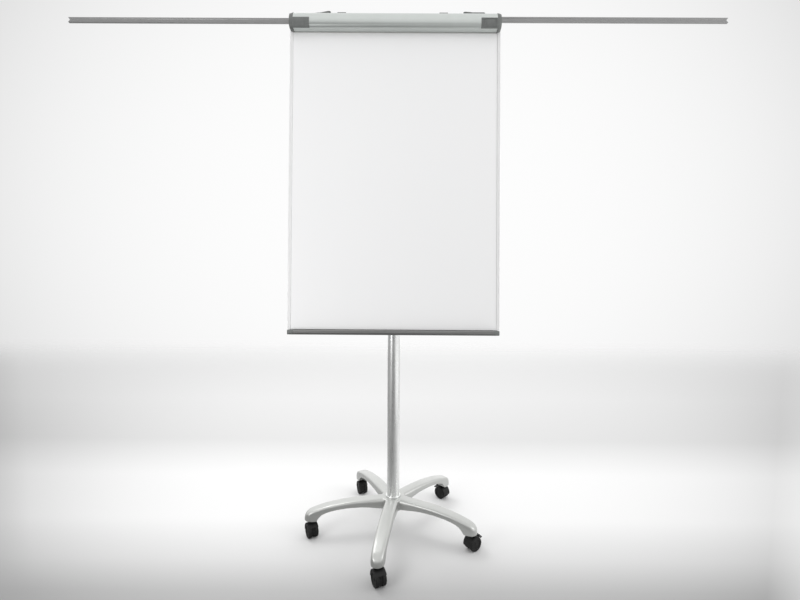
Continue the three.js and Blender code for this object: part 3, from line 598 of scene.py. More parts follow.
def leg_half_width(r):
    if r < LEG_REACH:
        taper = LEG_HALF_WIDTH_AT_TIP - LEG_HALF_WIDTH_AT_HUB
        return LEG_HALF_WIDTH_AT_HUB + taper * r / LEG_REACH
    return math.sqrt(max(LEG_HALF_WIDTH_AT_TIP ** 2 - (r - LEG_REACH) ** 2, 1))


def leg_ring(section, inset=0.0, steps=28):
    """One cross-section of a leg, or of the hollow that lies an inset inside it."""
    crown_r, crown_z, foot_r, foot_z = section
    height = crown_z - foot_z
    low = -3 / height if inset else 0
    high = 1 - inset / height
    ring = []
    for k in range(steps + 1):
        angle = math.pi * k / steps
        rise = low + (high - low) * abs(math.sin(angle)) ** LEG_SQUARENESS
        spread = math.copysign(abs(math.cos(angle)) ** LEG_SQUARENESS, math.cos(angle))
        r = foot_r + (crown_r - foot_r) * rise
        ring.append((r, (leg_half_width(r) - inset) * spread, foot_z + height * rise))
    return ring


def star_leg():
    """One arched leg along +X: an open channel with cross ribs and a solid, rounded tip."""
    sections = spline(LEG_SECTIONS, 6)
    hollow = [s for s in sections if HOLLOW_START <= s[0] <= HOLLOW_END]
    leg = loft([leg_ring(section) for section in sections])
    stem_bore = turned(plain_bar(5.8, 50, 85.3), at=(LEG_REACH, 0, 0), segments=24)
    leg = cut(leg, loft([leg_ring(section, LEG_WALL) for section in hollow]), stem_bore)
    ribs = []
    for r in RIB_PLACES:
        section = min(sections, key=lambda s: abs(s[0] - r))
        half = leg_half_width(r) - 2
        outline = rectangle(-half, section[3] + 7, half, section[1] - 3)
        ribs.append(extrude(outline, r - 1.5, r + 1.5, ALONG_X))
    return merged([leg, *ribs])


def star_base():
    """The five legs and the hub, melted into one casting with soft fillets."""
    hub = turned(fillet([
        (SOCKET_RADIUS, SOCKET_FLOOR, 0), (0, SOCKET_FLOOR, 0), (0, HUB_UNDERSIDE, 0),
        (HUB_RADIUS, HUB_UNDERSIDE, 4), (HUB_RADIUS, HUB_TOP, 5), (SOCKET_RADIUS, HUB_TOP, 0.8),
    ], 1))
    leg = star_leg()
    legs = []
    for k in range(len(PLACES)):
        turn = Matrix.Rotation(math.radians(FIRST_LEG_ANGLE + 72 * k), 4, "Z")
        legs.append(moved(leg.copy(), turn))
    bpy.data.meshes.remove(leg)
    return modified(
        merged([hub, *legs]),
        ("REMESH", {"mode": "VOXEL", "voxel_size": BASE_VOXEL}),
        ("SMOOTH", {"factor": 0.5, "iterations": 7}),
    )


def foot_ring():
    low, high = extent("column_foot_ring", DEVICE)
    bore, outer = SOCKET_RADIUS, high.x
    corners = [(bore, low.z, 0.3), (outer, low.z, 0.5), (outer, high.z, 2.2), (bore, high.z, 0.6)]
    return turned(fillet(corners, 0.5, 6), segments=96)


# ---------- castors

TRAIL = 10
WHEEL_RADIUS = 25
WHEEL_WIDTH = 13
WHEEL_OFFSET = 11.3
CASTOR_HALF_WIDTH = 17.8
HOOD_INNER = 26
HOOD_OUTER = 28.6
HOOD_FROM, HOOD_TO = 40, 190  # degrees round the axle, 0 along the trail, 90 up
WEB_HALF = 4.2
WEB_RADIUS = 22
STEM_RADIUS = 5.5
STEM_SHOULDER = 53
STEM_PIN_RADIUS = 2.4
STEM_FOOT = 37
STEM_TOP = 85
BOSS_TOP = 59.3
BRAKE_HALF_WIDTH = 12.5
BRAKE_PIVOT_RADIUS = 31.8
BRAKE_PIVOT_ANGLE = 62
PEDAL_FROM, PEDAL_TO = 25, 66  # degrees round the axle
AXLE_HOLE_RADIUS = 3.3


def round_axle(radius, start, end, steps):
    return arc(TRAIL, WHEEL_RADIUS, radius, start, end, steps)


def swept_round_axle(section, start, end, steps):
    """Draws a (y, radius) section round the axle between two angles."""
    rings = []
    for k in range(steps + 1):
        angle = math.radians(start + (end - start) * k / steps)
        rings.append([
            (TRAIL + r * math.cos(angle), y, WHEEL_RADIUS + r * math.sin(angle)) for y, r in section
        ])
    return loft(rings)


def brake_pivot():
    angle = math.radians(BRAKE_PIVOT_ANGLE)
    x = TRAIL + BRAKE_PIVOT_RADIUS * math.cos(angle)
    return (x, 0, WHEEL_RADIUS + BRAKE_PIVOT_RADIUS * math.sin(angle))


def pin(radius, half, at=(0, 0, 0), segments=32):
    """A round pin along y."""
    return turned(rounded_bar(radius, -half, half), ALONG_Y, at, segments)


def castor_housing(braked):
    """A crowned hood over both wheels, the web between them and the boss round the stem."""
    half = CASTOR_HALF_WIDTH
    crown = [(half * (1 - k / 4), HOOD_OUTER - 0.9 * (1 - k / 4) ** 4) for k in range(9)]
    hood_section = [(-half, HOOD_INNER + 0.5), (-half + 0.5, HOOD_INNER), (half - 0.5, HOOD_INNER),
                    (half, HOOD_INNER + 0.5), *crown]
    hood = soften(swept_round_axle(hood_section, HOOD_FROM, HOOD_TO, 40), 0.5, 50, 2)
    web_outline = round_axle(HOOD_OUTER - 1.2, HOOD_FROM + 2, HOOD_TO - 2, 24)
    web_outline += round_axle(WEB_RADIUS, 205, 385, 24)
    web = soften(extrude(web_outline, -WEB_HALF, WEB_HALF, ALONG_Y), 0.8)
    boss = turned(fillet([(0, STEM_FOOT - 2, 0), (8, STEM_FOOT - 2, 1), (8, 44, 2), (10.9, 48, 2),
                          (10.9, BOSS_TOP, 1.4), (0, BOSS_TOP, 0)], 0.5), segments=48)
    bore, pin_bore = STEM_RADIUS + GAP, STEM_PIN_RADIUS + GAP
    floor = STEM_SHOULDER - GAP
    stem_bore = turned([(0, STEM_FOOT - GAP), (pin_bore, STEM_FOOT - GAP), (pin_bore, floor), (bore, floor),
                        (bore, BOSS_TOP + 1), (0, BOSS_TOP + 1)], segments=40)
    housing = cut(unite(hood, web, boss), stem_bore)
    wheel_spaces = [
        turned(plain_bar(HOOD_INNER, WEB_HALF, half + 2),
               lambda x, z, y, side=side: (x, side * y, z), (TRAIL, 0, WHEEL_RADIUS), 72)
        for side in (-1, 1)
    ]
    housing = cut(housing, *wheel_spaces, pin(AXLE_HOLE_RADIUS, 30, (TRAIL, 0, WHEEL_RADIUS)))
    if braked:
        inside = BRAKE_HALF_WIDTH + GAP
        outline = round_axle(34.5, 58, 66, 6) + round_axle(27.5, 68, 56, 6)
        ears = [
            soften(extrude(outline, side * inside, side * (inside + 2), ALONG_Y), 0.6)
            for side in (-1, 1)
        ]
        housing = unite(housing, *ears)
    return housing


def castor_wheel():
    """A wheel about z, its dished outer face up: tyre, rim step and hub cap."""
    half = WHEEL_WIDTH / 2
    corners = [
        (0, half - 0.4, 0), (4.4, half - 0.5, 0.8), (5.2, half - 2.1, 0.5), (15.6, half - 2.4, 0.8),
        (16.6, half - 0.5, 0.6), (18.2, half - 0.2, 0.4), (18.5, half - 0.7, 0.2),
        (19.1, half - 0.7, 0.2), (19.4, half - 0.1, 0.5), (22.6, half, 1.5), (WHEEL_RADIUS, half - 2.6, 2.2),
        (WHEEL_RADIUS, 2 - half, 1.6), (WHEEL_RADIUS - 2.5, -half, 1.0), (14, -half, 0.5),
        (13, 1 - half, 0.5), (6, 1 - half, 0.5), (5.4, -half, 0.4),
        (AXLE_HOLE_RADIUS, -half, 0.3), (AXLE_HOLE_RADIUS, 5.3, 0.3),
        (0, 5.3, 0),
    ]
    return turned(fillet(corners, 0.5, 3), segments=72)


def castor_wheel_place(side):
    """Stands a wheel on the axle, with its dished face outwards."""
    at = Matrix.Translation((TRAIL, side * WHEEL_OFFSET, WHEEL_RADIUS))
    return at @ Matrix.Rotation(-side * math.pi / 2, 4, "X")


def castor_stem():
    corners = [
        (0, STEM_FOOT, 0), (STEM_PIN_RADIUS, STEM_FOOT, 0.8), (STEM_PIN_RADIUS, STEM_SHOULDER, 0.2),
        (STEM_RADIUS, STEM_SHOULDER, 0.4), (STEM_RADIUS, STEM_TOP, 1.5), (0, STEM_TOP, 0),
    ]
    return turned(fillet(corners, 0.4, 3), segments=40)


def brake_lever():
    """The foot pedal: a curved plate with an upturned, ridged toe."""
    half = BRAKE_HALF_WIDTH
    plate = swept_round_axle(rectangle(-half, 30.5, half, 33, 0.9), PEDAL_FROM, PEDAL_TO, 16)
    toe = swept_round_axle(rectangle(-half, 30.6, half, 35, 1.4), PEDAL_FROM, PEDAL_FROM + 7, 6)
    ridges = [
        swept_round_axle(rectangle(-half + 3, 32, half - 3, 33.6, 0.5), angle, angle + 1.4, 2)
        for angle in (36, 40, 44, 48)
    ]
    hinge = pin(1.6, half + 2, brake_pivot())
    return unite(soften(plate, 0.5, 50, 2), soften(toe, 0.6, 50, 2), *ridges, hinge)


def add_castors():
    housings = {braked: castor_housing(braked) for braked in (False, True)}
    wheel = castor_wheel()
    for place in PLACES:
        here = castor_place(place)
        braked = place in BRAKED
        install(f"{place}_castor_stem", castor_stem(), here)
        install(f"{place}_castor_housing", housings[braked].copy(), here)
        install(f"{place}_castor_axle", pin(3, WHEEL_OFFSET + 5, (TRAIL, 0, WHEEL_RADIUS)), here)
        for label, side in (("a", 1), ("b", -1)):
            install(f"{place}_castor_wheel_{label}", moved(wheel.copy(), castor_wheel_place(side)), here)
        if braked:
            install(f"{place}_brake_lever", brake_lever(), here)
    for mesh in (wheel, *housings.values()):
        bpy.data.meshes.remove(mesh)


# ---------- column

OUTER_TUBE_BORE = 20.5
INNER_TUBE_RADIUS = 17.5
INNER_TUBE_BORE = 15.5
KNOB_HEIGHT = 975
KNOB_SCREW_RADIUS = 4
COLLAR_BOSS_END = 38
BOLT_HEIGHT = 1400
SCREW_HOLE_RADIUS = 4.3  # for the knob's screw and for the bolt


def pipe(outer, bore, bottom, top, edge=0.6):
    return turned(fillet([(bore, bottom), (outer, bottom), (outer, top), (bore, top)], edge), segments=96)


def on_knob_axis(profile, segments):
    return turned(profile, lambda x, rise, y: (x, y, KNOB_HEIGHT + rise), segments=segments)


def on_bolt_axis(profile, segments):
    return turned(profile, lambda y, rise, x: (x, y, BOLT_HEIGHT + rise), segments=segments)


def knob_hole():
    return on_knob_axis(plain_bar(SCREW_HOLE_RADIUS, 0, 60), 32)


def outer_tube():
    low, high = extent("outer_tube", DEVICE)
    return cut(pipe(high.x, OUTER_TUBE_BORE, low.z, high.z), knob_hole())


def guide_bush():
    low, high = extent("guide_bush", DEVICE)
    bore, sleeve, flange = INNER_TUBE_RADIUS + GAP, OUTER_TUBE_BORE - GAP, high.z - 4
    profile = fillet([
        (bore, low.z, 0.4), (sleeve, low.z, 0.4), (sleeve, flange, 0.1), (high.x, flange, 0.4),
        (high.x, high.z, 1.2), (bore, high.z, 0.8),
    ], 0.4)
    return cut(turned(profile, segments=96), knob_hole())


def lock_collar():
    low, high = extent("lock_collar", DEVICE)
    radius = high.x
    groove = (low.z + high.z) / 2 + 14
    ring = turned(fillet([
        (SOCKET_RADIUS, low.z, 0.6), (radius, low.z, 2.2), (radius, groove - 2, 0.3),
        (radius - 0.8, groove - 1.4, 0.3), (radius - 0.8, groove + 0.2, 0.3), (radius, groove + 0.8, 0.3),
        (radius, high.z, 2.2), (SOCKET_RADIUS, high.z, 0.6),
    ], 1), segments=96)
    boss = fillet([(0, 24, 0), (10, 24, 0), (10, COLLAR_BOSS_END, 1.2), (0, COLLAR_BOSS_END, 0)], 0)
    return cut(unite(ring, on_knob_axis(boss, 48)), knob_hole())


def lock_knob():
    """A six-lobed star knob with a domed face and its screw."""
    low, high = extent("lock_knob", DEVICE)
    face, back = high.y, COLLAR_BOSS_END + 6
    radius = high.x
    rings = []
    for inset, y in ((2.4, back), (0.8, back + 0.6), (0, back + 2.2), (0, face - 4.5), (0.6, face - 2.4),
                     (2.2, face - 0.9), (4.6, face - 0.2), (7.5, face)):
        ring = []
        for k in range(120):
            angle = 2 * math.pi * k / 120
            r = radius - 2 - inset + 2 * math.cos(6 * angle) * (1 - inset / 9)
            ring.append((r * math.cos(angle), y, KNOB_HEIGHT + r * math.sin(angle)))
        rings.append(ring)
    neck_foot = COLLAR_BOSS_END + 0.5
    neck = fillet([(0, neck_foot, 0), (10, neck_foot, 0.8), (10, back + 3, 0), (0, back + 3, 0)], 0)
    screw = on_knob_axis(rounded_bar(KNOB_SCREW_RADIUS, low.y, back + 3, 0.8), 32)
    dimple = on_knob_axis([(0, face - 0.8), (5, face - 0.8), (6.2, face + 1), (0, face + 1)], 48)
    return cut(unite(loft(rings), on_knob_axis(neck, 48), screw), dimple)


def bolt_hole():
    return on_bolt_axis(plain_bar(SCREW_HOLE_RADIUS, -40, 40), 32)


def inner_tube():
    low, high = extent("inner_tube", DEVICE)
    return cut(pipe(INNER_TUBE_RADIUS, INNER_TUBE_BORE, low.z, high.z), bolt_hole())


# ---------- head bracket

BRACKET_FACE = (-16.6, -13.6)  # back and front of the face plate in w
BRACKET_HALF = 60
BRACKET_V = (500, 760)
CHEEK_INSIDE = 17.8
CHEEK_OUTSIDE = 20.8
CHEEK_FRONT_W = -15.5


def head_bracket():
    """A folded plate: a face against the board's back and two wedge cheeks beside the tube."""
    to_device = DEVICE.inverted() @ BOARD
    plan = fillet(rectangle(-BRACKET_HALF, BRACKET_V[0], BRACKET_HALF, BRACKET_V[1]), 10, 6)
    face = moved(soften(extrude(plan, *BRACKET_FACE, ALONG_W), 0.5), to_device)
    low = to_device @ Vector((0, 520, CHEEK_FRONT_W))
    high = to_device @ Vector((0, 740, CHEEK_FRONT_W))
    tube_top = extent("inner_tube", DEVICE)[1].z
    outline = fillet([(low.y, low.z, 0), (14, 1335, 9), (14, tube_top + 4, 9), (high.y, high.z, 0)], 4, 6)
    cheeks = [
        soften(extrude(outline, side * CHEEK_INSIDE, side * CHEEK_OUTSIDE, ALONG_X), 0.5)
        for side in (-1, 1)
    ]
    return cut(unite(face, *cheeks), bolt_hole())


def hexagon(radius, start, end):
    """A hexagonal nut or bolt head along x, chamfered at its corners."""
    prism = on_bolt_axis(plain_bar(radius, start, end), 6)
    chamfer = on_bolt_axis([(0, start), (radius - 0.9, start), (radius, start + 0.7), (radius, end - 0.7),
                            (radius - 0.9, end), (0, end)], 48)
    return combine(prism, [chamfer], "INTERSECT")


def bracket_bolt():
    cheek = CHEEK_OUTSIDE + GAP
    shank = on_bolt_axis(rounded_bar(4, -cheek - 8, cheek + 3, 0.8), 40)
    return unite(shank, hexagon(7, cheek, cheek + 5), hexagon(7, -cheek - 6, -cheek))


def bracket_screws():
    """Four pan-head screws that hold the bracket's face plate to the board."""
    back = BRACKET_FACE[0]
    heads = []
    for u in (-46, 46):
        for v in (516, 744):
            head = turned([(0, back + 1), (4.6, back + 1), (4.8, back - 0.6), (4.2, back - 1.6),
                           (2.6, back - 2.2), (0, back - 2.4)], at=(u, v, 0), segments=32)
            slots = [
                extrude(rectangle(u - a, v - b, u + a, v + b), back - 1.4, back - 3, ALONG_W)
                for a, b in ((2.4, 0.4), (0.4, 2.4))
            ]
            heads.append(cut(head, *slots))
    return merged(heads)


# ---------- board panel and frame

CORE_HALF = 347
FRAME_LIP_INNER = 339


def slab(node, edge):
    low, high = extent(node, BOARD)
    outline = fillet(rectangle(low.x, low.y, high.x, high.y), edge * 2)
    return soften(extrude(outline, low.z, high.z, ALONG_W), edge)


def side_profile(side):
    """A C-shaped edge profile with a shadow groove down its front face."""
    low, high = extent("side_profile_right", BOARD)
    inner, outer, back, front = FRAME_LIP_INNER, high.x, low.z, high.z
    groove = outer - 6.4
    section = fillet([
        (inner, front, 0.8), (groove, front, 0.2), (groove + 0.3, front - 0.6, 0.15),
        (groove + 1.2, front - 0.6, 0.15), (groove + 1.5, front, 0.2), (outer, front, 2.4),
        (outer, back, 2.2), (inner, back, 0.6), (inner, -13.6, 0.2), (CORE_HALF + GAP, -13.6, 0.2),
        (CORE_HALF + GAP, -1, 0.2), (inner, -1, 0.2),
    ], 0.2)
    mirrored = [(side * u, w) for u, w in section]
    return smooth_bar(mirrored, low.y, high.y, ALONG_V)


# ---------- pen tray

TRAY_BACK, TRAY_FRONT, TRAY_TOP = -15.3, 32, 16
# Front of the tray from its underside up: a rolled nose, two shadow lines and a leaning lip
TRAY_NOSE = [
    (TRAY_FRONT - 3, 0, 3.5), (TRAY_FRONT - 0.6, 4.2, 1.6), (TRAY_FRONT - 1.2, 4.6, 0.2),
    (TRAY_FRONT - 1.1, 5.2, 0.2), (TRAY_FRONT - 0.3, 5.5, 0.4), (TRAY_FRONT, 8, 2.4),
    (TRAY_FRONT - 0.4, 10.4, 0.4), (TRAY_FRONT - 1.3, 10.8, 0.2), (TRAY_FRONT - 1.3, 11.4, 0.2),
    (TRAY_FRONT - 0.7, 11.7, 0.4), (TRAY_FRONT - 1.7, 15.8, 0.9),
]


def pen_tray():
    low, high = extent("pen_tray", BOARD)
    trough = [(TRAY_FRONT - 3.5, 15.8, 0.7), (TRAY_FRONT - 3, 7.5, 1.8), (TRAY_FRONT - 8, 3.5, 1.8),
              (6, 3.5, 1.8), (2, 7.5, 1.5), (2, TRAY_TOP, 0.5)]
    section = fillet([(TRAY_BACK, 0, 1), *TRAY_NOSE, *trough, (TRAY_BACK, TRAY_TOP, 1)], 1)
    tray = smooth_bar(section, low.x, high.x, ALONG_U, 0.2)
    duct = rectangle(TRAY_BACK + 2, 2, 0, TRAY_TOP - 2, 0.5)
    return cut(tray, extrude(duct, low.x - 5, high.x + 5, ALONG_U))


def domed_cap(section, middle, inner, outer, fullness, steps=14):
    """A moulded end cap: a section that closes in towards its outer end like a dome."""
    middle = Vector(middle)
    rings = []
    for k in range(steps + 1):
        t = math.sin(math.pi / 2 * k / steps)
        scale = math.sqrt(1 - (fullness * t) ** 2)
        ring = [middle + (Vector(point) - middle) * scale for point in section]
        rings.append([ALONG_U(w, v, inner + (outer - inner) * t) for w, v in ring])
    return loft(rings)


def tray_cap(side):
    low, high = extent("tray_cap_right", BOARD)
    section = fillet([(TRAY_BACK, 0, 1.2), (TRAY_FRONT - 3, 0, 3.5), (TRAY_FRONT, 4.2, 3.5),
                      (TRAY_FRONT, TRAY_TOP - 4, 2.5), (TRAY_FRONT - 2, TRAY_TOP, 1.6),
                      (TRAY_BACK, TRAY_TOP, 1.2)], 1)
    return soften(domed_cap(section, (8, 8), side * low.x, side * high.x, 0.3), 1.2, 50, 3)


# ---------- paper clamp

ROD_RADIUS = 2.5
KNUCKLE_RADIUS = 5.2
KNUCKLES = [(-333, -315), (-20, 20), (315, 333)]
RAIL_BACK, RAIL_FRONT, RAIL_TOP, RAIL_FOOT = -15.3, 3.3, 1062, 1003.8
JAW_WALL = 2
JAW_RIM_RADIUS = 9.3
JAW_RIM_ANGLE = 48
LIP_V = 1001  # underside of the jaw
JAW_FLANGE_W = 6.3
JAW_FLANGE_TOP = LIP_V + 12
# Outside of the jaw as (w, v), after the rim that turns round the rod
JAW_FRONT = [
    (21.5, 1053), (28, 1045.5), (32.5, 1035), (34, 1023.5), (32.8, 1012.5), (28.6, 1004.9),
    (21, LIP_V + 0.5), (12, LIP_V),
]
BADGE_V = (1002.2, 1032)
BADGE_FROM = 280


def rod_hole(start, end):
    return extrude(arc(ROD_W, ROD_V, ROD_RADIUS + GAP, 0, 350, 35), start, end, ALONG_U)


def top_rail():
    """The fixed rail over the board's top edge: pad-hook slot, jaw face and hinge knuckles."""
    low, high = extent("top_rail", BOARD)
    section = fillet([
        (RAIL_BACK, 1000, 0.5), (RAIL_BACK, RAIL_TOP, 1.5), (-9.5, RAIL_TOP, 0.4), (-9.5, 1054, 0.3),
        (-3.5, 1054, 0.3), (-3.5, RAIL_TOP, 0.4), (RAIL_FRONT, RAIL_TOP, 1.2), (RAIL_FRONT, RAIL_FOOT, 0.5),
        (-1, RAIL_FOOT, 0.3), (-1, 1040.5, 0.2), (-13.6, 1040.5, 0.2), (-13.6, 1000, 0.3),
    ], 0.5)
    rail = smooth_bar(section, low.x, high.x, ALONG_U, 0.3)
    knuckles = []
    for start, end in KNUCKLES:
        outline = arc(ROD_W, ROD_V, KNUCKLE_RADIUS, -90, 90, 18)
        outline += [(RAIL_FRONT - 1, ROD_V + KNUCKLE_RADIUS), (RAIL_FRONT - 1, ROD_V - KNUCKLE_RADIUS)]
        knuckles.append(smooth_bar(outline, start, end, ALONG_U, 0.5))
    return cut(unite(rail, *knuckles), rod_hole(-400, 400))


def hinge_rod():
    low, high = extent("hinge_rod", BOARD)
    lay = lambda w, v, u: (u, ROD_V + v, ROD_W + w)
    return turned(rounded_bar(ROD_RADIUS, low.x, high.x, 0.8), lay, segments=32)


def jaw_line(steps):
    """The jaw's outside from the rim above the rod down to the lip."""
    rim = arc(ROD_W, ROD_V, JAW_RIM_RADIUS, JAW_RIM_ANGLE, JAW_RIM_ANGLE + 1, 1)[0]
    return spline([rim, *JAW_FRONT], steps)


def clamp_jaw():
    """The hinged jaw: a thin curved shell with a flange for the grip strip."""
    low, high = extent("clamp_jaw", BOARD)
    line = jaw_line(14)
    inside = offset(line, -JAW_WALL)[::-1]
    back, front = JAW_FLANGE_W, JAW_FLANGE_W + JAW_WALL
    flange = [(back + 0.3, LIP_V), (back, LIP_V + 0.3), (back, JAW_FLANGE_TOP), (front, JAW_FLANGE_TOP),
              (front, LIP_V + JAW_WALL)]
    return smooth_bar(line + flange + inside, low.x, high.x, ALONG_U, 0.3)


def grip_strip():
    """The rubber strip in the jaw, with fine ribs along its gripping face."""
    low, high = extent("jaw_grip_strip", BOARD)
    teeth = 10
    pitch = (high.y - low.y) / teeth
    section = [(high.z, low.y), (high.z, high.y)]
    for k in range(teeth, 0, -1):
        top = low.y + pitch * k
        section += [(low.z + w, top - t * pitch) for w, t in ((0.5, 0.1), (0, 0.5), (0.5, 0.9))]
    return extrude(section, low.x, high.x, ALONG_U)


def jaw_cap(side):
    """The jaw's domed end cap with a plain, ribbed badge plate lapping over the jaw's front."""
    cap_end = extent("jaw_cap_right", BOARD)[1].x
    jaw_end = extent("clamp_jaw", BOARD)[1].x + GAP
    line = jaw_line(6)
    plate = offset(line, 0.8)
    plate += [(2.6, LIP_V - 0.4), (2.2, LIP_V), (2.2, ROD_V + 6), (ROD_W, ROD_V + JAW_RIM_RADIUS)]
    cap = soften(domed_cap(plate, (14, 1030), side * jaw_end, side * cap_end, 0.45, 18), 1.5, 50, 3)
    window = [point for point in jaw_line(10) if BADGE_V[0] <= point[1] <= BADGE_V[1]]
    badge = offset(window, 1.4) + offset(window, GAP)[::-1]
    badge = soften(extrude(badge, side * BADGE_FROM, side * (jaw_end + 1), ALONG_U), 0.4, 50, 2)
    field = [p for p in window if BADGE_V[0] + 3 <= p[1] <= BADGE_V[1] - 3]
    recess = offset(field, 2.4) + offset(field, 1.05)[::-1]
    recess = extrude(recess, side * (BADGE_FROM + 14), side * (jaw_end - 4), ALONG_U)
    ribs = []
    for k in range(4):
        start = BADGE_FROM + 2.5 + 2.6 * k
        rib = offset(field, 1.9) + offset(field, 1.2)[::-1]
        ribs.append(soften(extrude(rib, side * start, side * (start + 1.1), ALONG_U), 0.25, 50, 2))
    rod_end = rod_hole(side * (jaw_end - 1), side * (extent("hinge_rod", BOARD)[1].x + GAP))
    return cut(unite(cap, badge, *ribs), recess, rod_end)


SPRING_FROM = 298
SPRING_TURNS = 3.5
SPRING_PITCH = 2.6
SPRING_COIL = 4.3
SPRING_WIRE = 0.8
SPRING_LEG = 12


def jaw_spring(side):
    """A torsion spring on the rod, with a straight leg at each end."""
    path = []
    steps = 140
    for k in range(steps + 1):
        t = k / steps
        along = min(max((t - 0.1) / 0.8, 0), 1)
        angle = -math.pi / 2 + 2 * math.pi * SPRING_TURNS * along
        leg = SPRING_LEG * max(0.1 - t, t - 0.9, 0) / 0.1
        u = side * (SPRING_FROM + SPRING_TURNS * SPRING_PITCH * along)
        path.append((u, ROD_V + SPRING_COIL * math.cos(angle) - leg, ROD_W + SPRING_COIL * math.sin(angle)))
    return sweep(path, SPRING_WIRE, 12)


def pad_hook(label):
    """A sliding saddle in the rail's slot, with a tongue and a peg that carries the pad."""
    low, high = extent(f"pad_hook_{label}", BOARD)
    u, top = (low.x + high.x) / 2, high.y
    foot = RAIL_TOP + GAP
    saddle = fillet([(-13, foot, 0.4), (-13, top - 2.5, 1.5), (-10, top, 1.8), (2, top, 1.8),
                     (5.1, top - 2.5, 1.5), (5.1, foot, 0.4)], 1, 5)
    saddle = soften(extrude(saddle, u - 14, u + 14, ALONG_U), 1.0, 60, 3)
    rib = extrude(rectangle(-9.2, 1054.3, -3.8, RAIL_TOP + 1), u - 12, u + 12, ALONG_U)
    tongue = soften(extrude(rectangle(3.6, 1016, 5.1, RAIL_TOP + 1), u - 6, u + 6, ALONG_U), 0.4)
    peg = turned(fillet([(0, 4, 0), (3, 4, 0), (3, 10.6, 0.3), (3, 13, 1.2), (0, 13, 0)], 0), ALONG_W,
                 (u, 1022, 0), 32)
    grips = [
        extrude(rectangle(-14, top - 1.2, 7, top + 1), u + k - 0.6, u + k + 0.6, ALONG_U)
        for k in (-6, -3, 0, 3, 6)
    ]
    return cut(unite(saddle, rib, tongue, peg), *grips)


# ---------- paper arms

ARM_V = 1060
ARM_HALF_HEIGHT = 8.5
ARM_NOTCH = 5.5
ARM_TRACKS = {"left": -33, "right": -22}
LOCK_TURN = {"left": -12, "right": 184}


def track(w, half):
    """The space that an arm runs in, along u."""
    reach = ARM_HALF_HEIGHT + GAP
    return extrude(rectangle(w - 4.3, ARM_V - reach, w + 4.3, ARM_V + reach, 0.4), -half, half, ALONG_U)


def paper_arm(side):
    """A flat bar with a shallow channel on each face and a fishtail tip."""
    node = "arm_left" if side < 0 else "arm_right"
    low, high = extent(node, BOARD)
    back, front, foot, top = low.z, high.z, low.y, high.y
    section = fillet([
        (back, foot, 0.8), (front, foot, 0.8), (front, foot + 5, 0.3), (front - 0.7, foot + 6, 0.3),
        (front - 0.7, top - 6, 0.3), (front, top - 5, 0.3), (front, top, 0.8), (back, top, 0.8),
        (back, top - 5, 0.3), (back + 0.7, top - 6, 0.3), (back + 0.7, foot + 6, 0.3), (back, foot + 5, 0.3),
    ], 0.5)
    tip = high.x if side > 0 else low.x
    bar = extrude(section, low.x, high.x, ALONG_U)
    notch = [(tip + side * 2, foot - 2.5), (tip - side * ARM_NOTCH, ARM_V), (tip + side * 2, top + 2.5)]
    return soften(cut(bar, extrude(notch, back - 2, front + 2, ALONG_W)), 0.25, 60, 2)


def arm_rail():
    """The double rail behind the board's top edge, open at both ends for the arms."""
    low, high = extent("arm_rail", BOARD)
    foot, top = low.y, high.y
    middle = (ARM_TRACKS["left"] + ARM_TRACKS["right"]) / 2
    section = fillet([
        (low.z, foot, 1), (middle - 1, foot, 0.2), (middle, foot + 0.8, 0.2), (middle + 1, foot, 0.2),
        (high.z, foot, 1), (high.z, top, 1), (middle + 1, top, 0.2), (middle, top - 0.8, 0.2),
        (middle - 1, top, 0.2), (low.z, top, 1),
        (low.z, ARM_V + 3.4, 0.3), (low.z + 0.5, ARM_V + 2.8, 0.3), (low.z + 0.5, ARM_V - 2.8, 0.3),
        (low.z, ARM_V - 3.4, 0.3),
    ], 1)
    rail = smooth_bar(section, low.x, high.x, ALONG_U)
    holes = []
    for label in SIDES:
        u, _, w = lock_centre(label)
        holes.append(turned(plain_bar(3.3, ARM_V + 5, ARM_V + 20), ALONG_V, (u, 0, w), 32))
    return cut(rail, *[track(w, 360) for w in ARM_TRACKS.values()], *holes)


def rail_end(label):
    low, high = extent(f"rail_end_{label}", BOARD)
    plate = extrude(rectangle(low.z, low.y, high.z, high.y, 2), low.x, high.x, ALONG_U)
    return cut(soften(plate, 0.8, 60, 3), track(ARM_TRACKS[label], 360))


def lock_centre(label):
    """Where an arm lock's spindle stands on the board."""
    return BOARD.inverted() @ Vector(JOINTS[f"arm_lock_{label}_turn"]["pos_m"])


def arm_lock(label):
    """A clamping lever: spindle, round hub and a waisted handle with a thumb pad."""
    low, high = extent(f"arm_lock_{label}", BOARD)
    top = high.y
    spindle = turned(rounded_bar(3, low.y, top - 2), ALONG_V, segments=32)
    hub_foot = extent("arm_rail", BOARD)[1].y + 0.5
    hub = turned(fillet([(0, hub_foot, 0), (8, hub_foot, 0.6), (8, top - 1.2, 1.5), (0, top - 1, 0)], 0),
                 ALONG_V, segments=48)
    edge = [(-7.4, 4.5, 3), (-3, 7.6, 3), (8, 6.6, 5), (34, 4.6, 20), (58, 6.2, 8), (67, 5, 5)]
    handle = fillet([(a, -b, radius) for a, b, radius in edge] + edge[::-1], 4, 8)
    handle = soften(extrude(handle, top - 7, top, ALONG_V), 1.8, 60, 4)
    ridges = [
        extrude(rectangle(a - 0.5, -8, a + 0.5, 8), top - 0.5, top + 1, ALONG_V)
        for a in (52, 55, 58, 61)
    ]
    return cut(unite(handle, hub, spindle), *ridges)


def arm_lock_place(label):
    u, _, w = lock_centre(label)
    turn = Matrix.Rotation(math.radians(LOCK_TURN[label]), 4, "Y")
    return BOARD @ Matrix.Translation((u, 0, w)) @ turn


# ---------- studio

FLOOR_HALF_WIDTH = 12
FLOOR_FRONT = -3
FLOOR_FADES = (2.4, 4.2)  # metres behind the column over which the floor melts into the room
